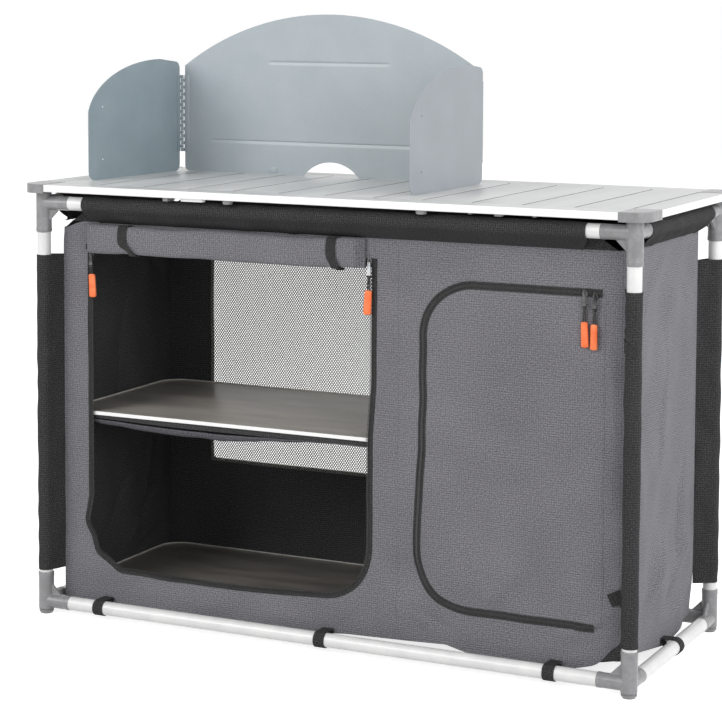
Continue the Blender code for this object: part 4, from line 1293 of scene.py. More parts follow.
@dataclass
class Cupboard:
    """Cloth walls of the cupboard, with their openings, zip tapes, seams and net window."""

    at: Places
    cloth: float = 0.0012
    step: float = 0.0055
    hem: float = 0.012
    door_radius: float = 0.094

    def __post_init__(self) -> None:
        """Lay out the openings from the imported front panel's neighbours."""
        self.door_low, self.door_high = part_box("right_door")
        left, right = (sum(end.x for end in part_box(f"bay_{side}_zip_pull")) / 2
                       for side in ("left", "right"))
        self.bay_left, self.bay_right = left + 0.002, right + 0.0092
        self.bay_low, self.bay_high = self.at.bottom + 0.0468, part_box("rolled_door")[0].z + 0.008
        side, front, bottom, top = self.at.side, self.at.front, self.at.bottom, self.at.top
        self.tucks = [((side, front, bottom), (-0.002, 0.002, 0.008), 0.034),
                      ((side, -front, bottom), (-0.005, -0.003, 0.003), 0.05),
                      ((-side, -front, bottom), (0.004, -0.003, 0.003), 0.05),
                      ((-side, front, top), (0.002, 0.0, -0.013), 0.028)]
        self.bay = self.bay_outline()
        self.door = self.door_outline()
        self.folds = [Fold((-0.505, 0.14), (-0.545, 0.3), 0.012, 0.0016),
                      Fold((-0.5, 0.33), (-0.54, 0.42), 0.01, -0.0014),
                      Fold((0.1, 0.25), (0.102, 0.64), 0.006, -0.0008),
                      Fold((0.135, 0.06), (0.135, 0.72), 0.004, -0.0009),
                      Fold((0.205, 0.045), (0.15, 0.13), 0.01, 0.0024),
                      Fold((0.09, 0.12), (0.15, 0.04), 0.012, 0.0022),
                      Fold((0.42, 0.07), (0.52, 0.1), 0.014, 0.003),
                      Fold((-0.47, 0.115), (-0.4, 0.06), 0.012, 0.0018),
                      Fold((0.14, 0.7), (0.3, 0.715), 0.012, 0.003),
                      Fold((-0.52, 0.62), (-0.5, 0.48), 0.01, -0.002),
                      Fold((0.1, 0.705), (0.188, 0.62), 0.0055, 0.004),
                      Fold((0.12, 0.72), (0.25, 0.655), 0.005, 0.0034),
                      Fold((0.15, 0.724), (0.28, 0.69), 0.006, -0.0026),
                      Fold((0.236, 0.712), (0.262, 0.668), 0.006, 0.0026),
                      Fold((0.29, 0.105), (0.37, 0.19), 0.014, 0.0044),
                      Fold((0.395, 0.1), (0.45, 0.2), 0.012, -0.0034),
                      Fold((0.425, 0.07), (0.54, 0.135), 0.008, 0.004),
                      Fold((0.15, 0.105), (0.25, 0.055), 0.006, -0.003),
                      Fold((0.11, 0.14), (0.16, 0.055), 0.007, 0.0034),
                      Fold((-0.53, 0.2), (-0.5, 0.1), 0.01, 0.003),
                      Fold((0.52, 0.7), (0.42, 0.69), 0.01, 0.0022),
                      Fold((0.525, 0.56), (0.535, 0.3), 0.008, 0.0018),
                      Fold((0.13, 0.5), (0.16, 0.25), 0.01, 0.0016)]
        self.ripples = Ripples(11, 0.0018, 0.12)

    def bay_outline(self) -> Outline:
        """The zip's line round the open bay, whose lower corners have gone a little out of true."""
        left, right, low, high = self.bay_left, self.bay_right, self.bay_low, self.bay_high
        outline = Outline.rounded([(left, high), (left, low + 0.135), (left - 0.01, low + 0.088),
                                   (left + 0.0055, low + 0.062), (left + 0.014, low + 0.034),
                                   (left + 0.0415, low + 0.019), (left + 0.064, low + 0.004),
                                   (left + 0.15, low - 0.001),
                                   (right - 0.2, low + 0.001), (right, low + 0.014), (right, high)],
                                  [0, 0.06, 0.018, 0.02, 0.014, 0.02, 0.02, 0.06, 0.2, 0.098, 0])
        x, z = outline.points.T
        narrow = soft_step((0.5 - z) / 0.14) * (x > 0) * soft_step((z - low) / 0.1)
        outline.points = columns(x - 0.0065 * narrow, z)
        return outline

    def door_outline(self) -> Outline:
        """The zip's line round the door, open on the hinge side."""
        low, high = self.door_low, self.door_high
        outline = Outline.rounded([(high.x, high.z), (low.x, high.z), (low.x, low.z), (high.x, low.z)],
                                  [0, self.door_radius, self.door_radius, 0])
        x, z = outline.points.T
        lean = soft_step((0.42 - z) / 0.2) * soft_step((0.3 - x) / 0.08)
        outline.points = columns(x - 0.009 * lean, z)
        return outline

    def drawn(self, points: Array) -> Array:
        """Draw some of the cupboard's corners in, the same for every wall that meets there."""
        moved = points.copy()
        for corner, pull, size in self.tucks:
            weight = np.exp(-(np.linalg.norm(points - np.array(corner), axis=1) / size) ** 2)
            moved += weight[:, None] * np.array(pull)
        return moved

    def rise(self, x: Array, z: Array) -> Array:
        """How far the front stands forward of its flat place."""
        edge = np.minimum(np.minimum(self.at.side - np.abs(x), self.at.top - z), z - self.at.bottom + 0.02)
        waves = self.ripples.rise(x, z)
        for crease in self.folds:
            waves = waves + crease.rise(x, z)
        on_bay = np.exp(-((np.abs(x - (self.bay_left + self.bay_right) / 2)
                           - (self.bay_right - self.bay_left) / 2 + 0.003) / 0.013) ** 2)
        on_door = np.exp(-((z - self.door_high.z) / 0.016) ** 2) * soft_step((x - 0.25) / 0.04)
        calm = 1 - 0.92 * np.maximum(on_bay, on_door)
        return self.clear_of_floor(waves * calm * soft_step(edge / FADE), z)

    def clear_of_floor(self, rise: Array, z: Array) -> Array:
        """Keep a wall outside the floor's rim: no furrows near the bottom."""
        held = 1 - soft_step((z - self.at.bottom - 0.012) / 0.03)
        return rise - np.minimum(rise + 0.0004, 0) * held

    def on_front(self, path: Array, out: float) -> Array:
        """Lift an (x, z) path onto the front, a little proud of it."""
        x, z = path[:, 0], path[:, 1]
        return self.drawn(columns(x, self.at.front - self.rise(x, z), z)) - np.array([0, out, 0])

    def front_place(self, x: Array, z: Array) -> Array:
        """Points of the front's outer face."""
        return self.on_front(columns(x, z), 0.0)

    def build(self) -> None:
        """Make the walls, the tapes and the seams."""
        self.front()
        self.back()
        self.sides()
        self.inner_walls()
        self.bay_tape()
        self.seams()

    def front(self) -> None:
        """Front wall with the bay and the doorway cut out."""
        side, high = self.at.side, self.at.top
        wall = Outline.rounded([(-side, high), (-side, 0.021), (-0.05, 0.023), (0.04, 0.03), (0.15, 0.033),
                                (0.228, 0.036), (0.268, 0.0265), (0.44, 0.0215), (0.505, 0.037),
                                (side, 0.079), (side, high)],
                               [0, 0.006, 0.2, 0.2, 0.1, 0.02, 0.03, 0.05, 0.04, 0.03, 0])
        cut = Cut((-side, wall.points[:, 1].min()), (side, high), self.step, [wall], [self.bay, self.door])
        obj = cut.sheet("front_wall", self.front_place, FRONT, self.cloth, (GREY_CLOTH, LINING))
        settle(obj, BASE, (), ["front_panel"], CLOTH_CREASE)
        edges = wall.girth() + self.bay.girth() + self.door.girth()
        cut.area() + edges * self.hem
        self.corner_web()

    def corner_web(self) -> None:
        """Black cloth behind the front's lower right corner, where the hem rides up."""
        side = self.at.side - 0.0015
        shape = Outline.rounded([(side, 0.115), (0.44, 0.08), (0.455, 0.042), (0.5, 0.0462), (side, 0.048)],
                                [0, 0.01, 0.01, 0.02, 0.004])
        cut = Cut((0.44, 0.04), (side, 0.115), self.step, [shape])

        def place(x: Array, z: Array) -> Array:
            """Points of the web's face, just inside the front."""
            return columns(x, self.at.front + self.cloth + 0.0003, z)

        obj = cut.sheet("corner_web", place, FRONT, 0.0008, (LINING, LINING))
        settle(obj, BASE, (), (), CLOTH_CREASE)
        cut.area()

    def back(self) -> None:
        """Back wall with the net window of the left bay."""
        low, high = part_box("mesh_window")
        high = high + Vector((0, 0, 0.02))
        window = Outline.rounded([(low.x, high.z), (low.x, low.z), (high.x, low.z), (high.x, high.z)],
                                 [0.004] * 4)
        side, bottom, top = self.at.side, self.at.bottom, self.at.top
        wall = Outline.rounded([(-side, top), (-side, bottom), (side, bottom), (side, top)],
                               [0, 0.006, 0.006, 0])
        u, v = wall.points.T
        near = soft_step((bottom + 0.05 - v) / 0.05)
        wall.points = columns(u, v + 0.002 * np.sin(u * 23) * near)
        cut = Cut((-side, bottom - 0.006), (side, top), self.step, [wall], [window])
        waves = Ripples(12, 0.0012, 0.17)

        def place(x: Array, z: Array) -> Array:
            """Points of the back's outer face."""
            edge = np.minimum(side - np.abs(x), top - z)
            return self.drawn(columns(x, -self.at.front + waves.rise(x, z) * soft_step(edge / FADE), z))

        obj = cut.sheet("back_wall", place, (0, 1, 0), self.cloth, (GREY_CLOTH, LINING), 1)
        settle(obj, BASE, (), ["back_panel"], CLOTH_CREASE)
        cut.area() + (wall.girth() + window.girth()) * self.hem
        lap = 0.006
        net_cut = Cut((low.x - lap, low.z - lap), (high.x + lap, high.z + lap), 0.012)

        def net_place(x: Array, z: Array) -> Array:
            """Points of the net, just inside the back."""
            return place(x, z) - np.array([0, self.cloth + 0.0004, 0])

        net = net_cut.sheet("net_window", net_place, (0, -1, 0), 0.0003, (NET, NET))
        settle(net, BASE, (), ["mesh_window"], CLOTH_CREASE)

    def sides(self) -> None:
        """Left and right walls, with creases where their corners are held."""
        half = -self.at.front
        for side, name, seed in ((-1, "left", 13), (1, "right", 14)):
            folds = [Fold((-0.125, 0.1), (-0.12, 0.7), 0.005, -0.003),
                     Fold((0.06, 0.1), (0.15, 0.2), 0.012, 0.008),
                     Fold((0.00, 0.07), (0.1, 0.13), 0.01, -0.007),
                     Fold((-0.15, 0.6), (0.02, 0.72), 0.012, 0.006),
                     Fold((-0.02, 0.3), (0.03, 0.62), 0.008, 0.005),
                     Fold((0.08, 0.66), (0.18, 0.58), 0.01, 0.006),
                     Fold((-0.06, 0.1), (0.05, 0.24), 0.01, 0.006),
                     Fold((0.03, 0.05), (0.16, 0.09), 0.008, 0.008),
                     Fold((0.09, 0.12), (0.13, 0.4), 0.01, -0.006),
                     Fold((-0.17, 0.07), (-0.06, 0.16), 0.01, 0.005)]
            strength = 0.5 if side < 0 else 1.0
            waves = Ripples(seed, 0.0032 * strength, 0.13, stretch=(0.8, 1.6))
            wall = Outline.rounded([(-half, self.at.top), (-half, 0.04), (-0.1, 0.041), (0.02, 0.021),
                                    (0.08, 0.019), (0.12, 0.035), (half, 0.033), (half, self.at.top)],
                                   [0, 0.006, 0.1, 0.08, 0.03, 0.02, 0.006, 0])
            cut = Cut((-half, wall.points[:, 1].min()), (half, self.at.top), self.step, [wall])

            def place(y: Array, z: Array, side: int = side, waves: Ripples = waves,
                      folds: list[Fold] = folds, strength: float = strength) -> Array:
                """Points of this side's outer face."""
                edge = np.minimum(half - np.abs(y), self.at.top - z)
                rise = waves.rise(y, z) + strength * sum(crease.rise(y, z) for crease in folds)
                rise = self.clear_of_floor(rise * soft_step(edge / FADE), z)
                return self.drawn(columns(side * (self.at.side + rise), y, z))

            obj = cut.sheet(name + "_wall", place, (side, 0, 0), self.cloth, (GREY_CLOTH, LINING))
            settle(obj, BASE, (), [name + "_panel"], CLOTH_CREASE)
            cut.area() + wall.girth() * self.hem

    def inner_walls(self) -> None:
        """Black floor and the divider between the bay and the right compartment."""
        half_x, half_y = self.at.side - 0.0016, -self.at.front - 0.0016
        cut = Cut((-half_x, -half_y), (half_x, half_y), 0.01)
        waves = Ripples(15, 0.0006, 0.12)
        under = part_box("floor_panel")[1].z

        def lay(x: Array, y: Array) -> Array:
            """Points of the floor's upper face, sagging under its boards' rims."""
            rim = np.minimum(half_x - np.abs(x), half_y - np.abs(y))
            level = under - 0.0017 + waves.rise(x, y) * soft_step(rim / FADE)
            return self.drawn(columns(x, y, level))

        obj = cut.sheet("floor_cloth", lay, (0, 0, 1), self.cloth, (LINING, BLACK_CLOTH))
        settle(obj, BASE, (), ["floor_panel"], CLOTH_CREASE)
        cut.area()
        low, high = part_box("divider_panel")
        cut = Cut((low.y, low.z), (high.y, high.z), 0.012)
        waves = Ripples(16, 0.0008, 0.16)

        def stand(y: Array, z: Array) -> Array:
            """Points of the divider's left face."""
            edge = np.minimum(np.minimum(y - low.y, high.y - y), np.minimum(z - low.z, high.z - z))
            return columns(low.x + 0.0008 - waves.rise(y, z) * soft_step(edge / FADE), y, z)

        obj = cut.sheet("divider_cloth", stand, (-1, 0, 0), self.cloth, (LINING, LINING))
        settle(obj, BASE, (), ["divider_panel"], CLOTH_CREASE)

    def bay_tape(self) -> None:
        """Zip tape, teeth and stitches round the open bay."""
        path = trimmed(self.bay.points, 0.006, 0.006)
        widths = {"bay_tape": (0.0006, 0.0092, 0.0011), "bay_binding": (0.0044, 0.002, 0.0018)}
        for name, (shift, width, thickness) in widths.items():
            line = self.on_front(grown(path, shift), 0.0004)
            flat_band(name, line, width, thickness, WEBBING, BASE)
        tooth_row("bay_teeth", self.on_front(grown(path, -0.004), 0.0008), BASE)
        stitch_row("bay_stitches", self.on_front(grown(path, 0.0026), 0.001), BASE)
        ends = (("left_tape_end", self.bay_left - 0.0025, self.bay_high, 0.015, 0.01),
                ("right_tape_end", self.bay_right - 0.0042, self.bay_high + 0.003, 0.0205, 0.014))
        for name, x, z, width, tall in ends:
            line = np.array([(x - width / 2, z), (x, z), (x + width / 2, z)])
            flat_band(name, self.on_front(line, 0.0012), tall, 0.0009, WEBBING, BASE)

    def seams(self) -> None:
        """Sewn lines where the divider, the bay's flap and the walls are joined."""
        edge, top = self.at.side - 0.006, self.at.top - 0.004
        flap = self.bay_right + 0.001
        for name, x, low, high in (("divider_seam", self.at.divider, 0.052, top),
                                   ("flap_seam", flap, self.bay_high + 0.018, self.at.top - 0.005),
                                   ("left_seam", -edge, 0.09, top), ("right_seam", edge, 0.09, top)):
            path = Outline.rounded([(x, low), (x, high)], [0, 0], 0.01).points[:-1]
            path = path[: len(path) // 2 + 1]
            stitch_row(name, self.on_front(path, 0.0001), BASE, 0.0036)


@dataclass
class ZipDoor:
    """The zip-in door of the right compartment, with its tapes and teeth."""

    wall: Cupboard
    blend_run: float = 0.016
    lap: float = 0.002

    def build(self) -> None:
        """Make the door, then the zip on both sides of the gap."""
        low, high = self.wall.door_low, self.wall.door_high
        x, z = self.wall.door.points.T
        outline = Outline(columns(np.where(x > high.x - 1e-6, high.x + self.lap, x), z))
        edge = outline.points.min(axis=0)
        cut = Cut((edge[0], edge[1]), (high.x + self.lap, high.z), self.wall.step, [outline])

        def place(x: Array, z: Array) -> Array:
            """Points of the door's face, whose hinge edge lies just behind the wall."""
            behind = 0.0003 * soft_step((x - high.x + 0.0005) / 0.001)
            return self.wall.front_place(x, z) + columns(0.0, behind, 0.0)

        obj = cut.sheet("door_cloth", place, FRONT, self.wall.cloth, (GREY_CLOTH, LINING))
        obj.data.shade_smooth()
        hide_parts("right_door")
        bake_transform(obj)
        cut.area() + outline.girth() * 0.008
        path = trimmed(self.wall.door.points[: self.open_end()], 0.007, 0.014)
        for name, side, body in (("door_zip", 1, "right_door"), ("doorway_zip", -1, "cupboard_frame")):
            self.half_zip(name, path, side, body)

    def open_end(self) -> int:
        """Number of outline points before the hinge side starts."""
        x, z = self.wall.door.points.T
        on_hinge = (np.abs(x - self.wall.door_high.x) < 1e-6) & (z > self.wall.door_low.z + 1e-6)
        on_hinge[0] = False
        return int(np.argmax(on_hinge))

    def half_zip(self, name: str, path: Array, side: int, body: str) -> None:
        """Tape with a ridge, teeth and stitches on one side of the gap."""

        def line(away: float, out: float) -> Array:
            """The zip's line, moved away from the gap and out from the front."""
            return self.wall.on_front(grown(path, -side * away), out)

        flat_band(name + "_tape", line(0.0036, 0.0005), 0.0066, 0.0011, WEBBING, body)
        flat_band(name + "_ridge", line(0.0014, 0.0011), 0.0022, 0.0013, BLACK_CLOTH, body)
        tooth_row(name + "_teeth", line(0.0004, 0.0006), body)
        stitch_row(name + "_stitches", line(0.0056, 0.0012), body)


@dataclass
class RolledDoor:
    """The bay's door, rolled up and tied with two straps."""

    wall: Cupboard
    layer: float = 0.0011
    pitch: float = 0.0019
    turns: float = 5.55
    half_deep: float = 0.0108
    flatness: float = 0.62
    raised: Pair = (-0.0005, 0.001)

    def section(self, along: Array, half_tall: float) -> Array:
        """Spiral section of the roll, as (forward, up) pairs from its centre, outermost first."""
        angle = math.pi + along * self.turns * 2 * math.pi
        inset = self.pitch * along * self.turns
        deep = np.maximum(self.half_deep - inset * 0.8, 0.001)
        tall = np.maximum(half_tall - inset, 0.003)
        return columns(power(np.cos(angle), self.flatness) * deep,
                       power(np.sin(angle), self.flatness) * tall)

    def build(self) -> None:
        """Make the roll and its straps."""
        low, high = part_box("rolled_door")
        start, end = self.wall.bay_left - 0.004, self.wall.bay_right - 0.0155
        middle_z = (low.z + high.z) / 2 + self.raised[0]
        spiral = self.section(np.linspace(0, 1, 280), (high.z - low.z) / 2 + 0.0008)
        waves = Ripples(21, 0.0006, 0.06, stretch=(2.2, 1.0))
        rows = []
        for x in np.linspace(start, end, 120):
            pinch = 1 - 0.04 * sum(math.exp(-((x - s) / 0.012) ** 2) for s in self.strap_places())
            closed = 0.16 + 0.84 * float(soft_step(np.array(min(x - start, end - x) / 0.014)))
            droop = 0.0008 * math.sin(23 * x) + self.raised[1] * (x - start) / (end - start)
            swell = waves.rise(np.full(len(spiral), x), np.linspace(0, 0.5, len(spiral)))
            out = spiral * pinch * (1 + swell[:, None] / 0.02)
            wall_y = self.wall.at.front - float(self.wall.rise(np.array([x]), np.array([middle_z]))[0])
            wall_y = min(wall_y, self.wall.at.front)
            centre = wall_y - 0.001 - self.half_deep * closed
            rows.append(columns(x, centre - out[:, 0] * closed, middle_z + droop + out[:, 1]))
        obj = thickened(skin("door_roll", np.array(rows), around=False, caps=False), self.layer)
        settle(obj, BASE, [GREY_CLOTH], ["rolled_door"], CLOTH_CREASE)
        for number, (x, lean) in enumerate(zip(self.strap_places(), (0.02, 0.008)), 1):
            self.strap(f"roll_strap_{number}", x, lean)

    def strap_places(self) -> tuple[float, float]:
        """Where the two straps go round the roll."""
        return (-0.4055, 0.016)

    def strap(self, name: str, x: float, lean: float) -> None:
        """Webbing strap from the wall over the roll and back under it."""
        low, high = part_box("rolled_door")
        share = (x - self.wall.bay_left) / (self.wall.bay_right - self.wall.bay_left)
        up_by = Vector((0, 0, self.raised[0] + self.raised[1] * share))
        low, high = low + up_by, high + up_by
        middle_z = (low.z + high.z) / 2
        half_tall, half_deep = (high.z - low.z) / 2 + 0.0022, self.half_deep + 0.0006
        wall_y = self.wall.at.front - 0.0006
        angles = np.linspace(math.pi * 0.6, -math.pi * 0.6, 44)
        y = wall_y - half_deep - power(np.cos(angles), self.flatness) * (half_deep + 0.0012)
        z = middle_z + power(np.sin(angles), self.flatness) * half_tall
        y = np.concatenate([[wall_y, wall_y], np.minimum(y, wall_y), [wall_y, wall_y]])
        z = np.concatenate([[high.z + 0.002, high.z + 0.001], z, [low.z - 0.0015, low.z - 0.006]])
        slide = lean * soft_step((middle_z - z) / 0.03)
        path = columns(x + slide, y, z)
        normal = columns(0.0, y - (wall_y - half_deep), z - middle_z)
        obj = sweep(name, path, flat_section(0.018, 0.0012), normal)
        settle(obj, BASE, [WEBBING])


@dataclass
class Sleeves:
    """Black sleeves round the top rails and posts, and the loops and ties that hold the cloth."""

    at: Places
    cloth: float = 0.0011
    ease: float = 0.0004

    def teardrop(self, hem: Pair, radius: float) -> Array:
        """Section of a sleeve: down from the hem, round the tube and back to the hem.

        Args:
            hem: where both layers are sewn together, seen from the tube's centre.
            radius: the loop's radius round the tube.

        Returns:
            Pairs along the section.
        """
        point = Vector(hem)
        swing = math.acos(radius / point.length)
        aim = math.atan2(point.y, point.x)
        loop = arc((0, 0), radius, aim + swing, aim + 2 * math.pi - swing, 36)
        first, last = loop[0], loop[-1]
        gap = Vector((-point.y, point.x)).normalized() * self.cloth * 0.5
        start = [(hem[0] + gap.x + (first[0] - hem[0] - gap.x) * k / 10,
                  hem[1] + gap.y + (first[1] - hem[1] - gap.y) * k / 10) for k in range(10)]
        finish = [(last[0] + (hem[0] - gap.x - last[0]) * k / 10,
                   last[1] + (hem[1] - gap.y - last[1]) * k / 10) for k in range(1, 11)]
        return np.array(start + loop + finish)

    def sleeve(self, name: str, node: str, hem: Pair, spans: Pair, place: Callable, seed: int,
               flare: float, slants: Pair) -> None:
        """Make one sleeve.

        Args:
            name: the piece's name.
            node: the model node that it replaces.
            hem: the sewn edge, seen from the tube's centre.
            spans: where it starts and ends along the tube.
            place: maps along, across and up to the frame.
            seed: for its creases.
            flare: how far the loop opens at its ends.
            slants: how far the hem runs short of the loop at each end, on its inner and outer layer.
        """
        radius = self.at.tube + self.ease + self.cloth / 2
        section = self.teardrop(hem, radius)
        out = section / np.maximum(np.linalg.norm(section, axis=1, keepdims=True), 1e-9)
        free = soft_step((np.linalg.norm(section, axis=1) - radius) / 0.006) + 0.25
        at_hem = np.linalg.norm(section - np.array(hem), axis=1)
        free *= soft_step(at_hem / 0.006)
        reach = np.clip(1 - at_hem / (math.hypot(*hem) - radius * 0.6), 0, 1)
        inner = np.arange(len(section)) < len(section) / 2
        lean = reach * np.where(inner, slants[0], slants[1])
        count = max(40, int((spans[1] - spans[0]) / 0.008))
        waves = Ripples(seed, 0.0014, 0.06, stretch=(1.0, 0.6))
        rows = []
        for t in np.linspace(0, 1, count):
            along = spans[0] + (spans[1] - spans[0]) * t
            end = min(t, 1 - t) * (spans[1] - spans[0])
            open_up = flare * math.exp(-end / 0.012)
            swell = waves.rise(np.full(len(section), along), np.linspace(0, 0.12, len(section)))
            creased = 0.0016 * math.exp(-end / 0.05) * np.sin(np.linspace(0, 9, len(section)) + end * 160)
            cross = section + out * ((swell + creased + open_up) * free)[:, None]
            drawn = lean * math.exp(-end / 0.03) * (1 if t < 0.5 else -1)
            rows.append(place(along + drawn, cross[:, 0], cross[:, 1]))
        obj = thickened(skin(name, np.array(rows), around=False, caps=False), self.cloth)
        settle(obj, BASE, [BLACK_CLOTH], [node], CLOTH_CREASE)

    def build(self) -> None:
        """Make the sleeves, the loops on the lower rails and the corner ties."""
        drop = self.at.top - 0.001 - self.at.top_rail
        for number, side in enumerate(("front", "back", "left", "right")):
            low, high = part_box(side + "_rail_sleeve")
            spans, slants = (low.y, high.y), (-0.016, 0.012)
            if side in ("front", "back"):
                spans, slants = (low.x + (0.008 if side == "front" else 0.0), high.x), (-0.048, 0.02)

            def place(along: float, inward: Array, up: Array, side: str = side) -> Array:
                """Points of a sleeve round a top rail."""
                return self.at.beside(side, along, inward, self.at.top_rail + up)

            self.sleeve(side + "_sleeve_cloth", side + "_rail_sleeve", (self.at.inset(side) - 0.0008, drop),
                        spans, place, 31 + number, 0.0022, slants)
        for number, corner in enumerate(Corner):
            low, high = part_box(corner.label + "_post_sleeve")
            sx, sy = corner.value

            def place(along: float, in_x: Array, in_y: Array, sx: int = sx, sy: int = sy) -> Array:
                """Points of a sleeve round a post."""
                return columns(sx * (self.at.post_x - in_x), sy * (self.at.post_y - in_y), along)

            up_by = 0.009 if sy > 0 else 0.0
            self.sleeve(corner.label + "_sleeve_cloth", corner.label + "_post_sleeve",
                        (self.at.inset("left"), self.at.inset("front")), (low.z + up_by, high.z + up_by),
                        place, 41 + number, 0.0006, (0.0, 0.0))
        self.rail_loops()
        self.corner_ties()

    def rail_loops(self) -> None:
        """Webbing loops from the cupboard's lower hem round the bottom rails."""
        places = [("front", -0.45), ("front", 0.004), ("front", 0.431), ("back", -0.425), ("back", 0.0),
                  ("back", 0.425), ("left", 0.0), ("right", 0.02)]
        rail = self.at.low_rail
        for number, (side, where) in enumerate(places, 1):
            hem = (self.at.inset(side) + 0.003, self.at.bottom - 0.004 - rail)
            section = self.teardrop(hem, self.at.tube + 0.001)
            path = self.at.beside(side, where, section[:, 0], rail + section[:, 1])
            middle = self.at.beside(side, where, np.zeros(1), rail)
            obj = sweep(f"rail_loop_{number}", path, flat_section(0.021, 0.0014), path - middle)
            settle(obj, BASE, [BLACK_CLOTH])

    def corner_ties(self) -> None:
        """Flap and tab of black cloth on the right front post's sleeve, and a thin black strip above them for
        a fold and its painted shadow.
        """
        x, y = self.at.post_x, -self.at.post_y
        radius = self.at.tube + self.ease + self.cloth + 0.0012
        wall_x, wall_y = self.at.side, self.at.front
        ties = ((0.583, 0.011, 0.0, 0.019), (0.16, 0.02, 0.02, 0.022))
        for number, (z, drop, out, width) in enumerate(ties, 1):
            run = 24 if out == 0 else 6
            angles = np.linspace(math.radians(172), math.radians(312), 24)
            ring = columns(x + radius * np.cos(angles), y + radius * np.sin(angles),
                           z - drop * soft_step(np.linspace(0, 1, 24)))
            tail = np.array([(wall_x - 0.001 - out * k, wall_y - 0.003 - 0.002 * k, z - 0.01 * k * (out > 0))
                             for k in np.linspace(1, 0, 5)])
            path = np.concatenate([tail, ring[:run]])
            normal = np.concatenate([np.tile(FRONT, (5, 1)), (ring - np.array([x, y, 0]))[:run]])
            normal[:, 2] = 0
            obj = sweep(f"corner_tie_{number}", path, flat_section(width, 0.0011), normal)
            settle(obj, BASE, [WEBBING])
        # Thin black strip along the tie's top: its fold, and a painted shadow under it.
        angles = np.linspace(math.radians(185), math.radians(262), 16)
        line = columns(x + (radius - 0.0008) * np.cos(angles), y + (radius - 0.0008) * np.sin(angles),
                       np.linspace(0.608, 0.59, 16))
        fold = sweep("corner_tie_fold", line, flat_section(0.002, 0.0016), line - np.array([x, y, 0.599]))
        settle(fold, BASE, [BLACK_PLASTIC])


@dataclass
class Boards:
    """Shelf and floor boards, with their trims, white edge and the cloth slung under the shelf."""

    rim: float = 0.0008
    corner: float = 0.045
    trim: float = 0.0014

    def build(self) -> None:
        """Make the three boards and what belongs to the shelf."""
        # The shelf's lighter laminate is painted light.
        self.board("shelf", "shelf_board", LIT_SHELF_FACE)
        self.board("left_floor_board", "left_base_board", BOARD_FACE)
        self.board("right_floor_board", "right_base_board", BOARD_FACE, self.corner)
        low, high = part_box("shelf")
        strip = block("shelf_edge", (low.x + 0.002, low.y - 0.001, low.z - 0.0004),
                      (high.x - 0.002, low.y + 0.0006, high.z + 0.0002), 0.0003)
        settle(strip, BASE, [EDGE_PAINT])
        self.sling()

    def outline(self, low: Vector, high: Vector, front: float) -> Array:
        """Board outline with rounded back corners."""
        return Outline.rounded([(low.x, low.y), (high.x, low.y), (high.x, high.y), (low.x, high.y)],
                               [0.004, front, self.corner, self.corner], 0.02).points

    def board(self, node: str, name: str, face: Finish, front: float = 0.004) -> None:
        """One laminated board with a pale trim along its side and back.

        Args:
            node: the model node that it replaces.
            name: the piece's name.
            face: its finish.
            front: radius of its right front corner.
        """
        low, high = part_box(node)
        obj = slab(name, self.outline(low, high, front), low.z, high.z, self.rim, lambda points: points)
        settle(obj, BASE, [face], [node])
        near = low.y + (front if front > 0.01 else 0.0)
        shape = Outline.rounded([(low.x + 0.001, low.y), (low.x + 0.001, high.y - 0.001),
                                 (high.x - 0.001, high.y - 0.001), (high.x - 0.001, near)],
                                [0, self.corner, self.corner, 0], 0.01).points
        last = int(np.argmax((shape[:, 1] <= near + 1e-6) & (shape[:, 0] > (low.x + high.x) / 2)))
        path = np.concatenate([shape[:last + 1], np.full((last + 1, 1), high.z + self.trim * 0.4)], axis=1)
        piping = sweep(name + "_trim", path, round_section(self.trim, 10), (0, 0, 1))
        settle(piping, BASE, [TRIM])

    def sling(self) -> None:
        """Cloth slung under the shelf, which sags behind the front edge, and the black binding it hangs from,
        whose black also paints the shade in the gap under the edge.
        """
        low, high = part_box("shelf")
        x = np.linspace(low.x + 0.004, high.x - 0.004, 130)
        share = (x - x[0]) / (x[-1] - x[0])
        waves = Ripples(51, 0.001, 0.09)
        fades = soft_step((0.95 - share) / 0.5)
        sag = (0.017 * np.sin(math.pi * share ** 0.7) ** 0.9
               + waves.rise(x, np.zeros_like(x))) * fades + 0.002
        gap = 0.0045 + 0.0045 * soft_step(share / 0.4)
        rows, band = [], []
        angles = np.linspace(0.15, math.pi, 20)
        for at_x, deep, drop in zip(x, np.maximum(sag, 0.002), gap):
            y = low.y + 0.004 + 0.014 * (1 - np.cos(angles))
            z = low.z - drop - deep * np.sin(angles) ** 0.6
            back_y = np.linspace(y[-1] + 0.008, high.y - 0.004, 12)
            back_z = low.z - 0.001 - drop * np.exp(-np.arange(12) / 1.5)
            rows.append(columns(at_x, np.concatenate([y, back_y]), np.concatenate([z, back_z])))
            band.append(columns(at_x, low.y + np.array([0.003, 0.004, 0.005, 0.0058]),
                                low.z - 0.0004 - (drop + 0.002) * np.array([0.0, 0.4, 0.75, 1.0])))
        obj = thickened(skin("shelf_sling", np.array(rows), around=False, caps=False), 0.0009)
        # The sling's darker cloth is painted shade.
        settle(obj, BASE, [SHADED_SLING_CLOTH], crease=CLOTH_CREASE)
        # Black binding strip, which also stands for the shade in the gap under the shelf's edge.
        strip = thickened(skin("shelf_binding", np.array(band), around=False, caps=False), 0.0009)
        settle(strip, BASE, [LINING])


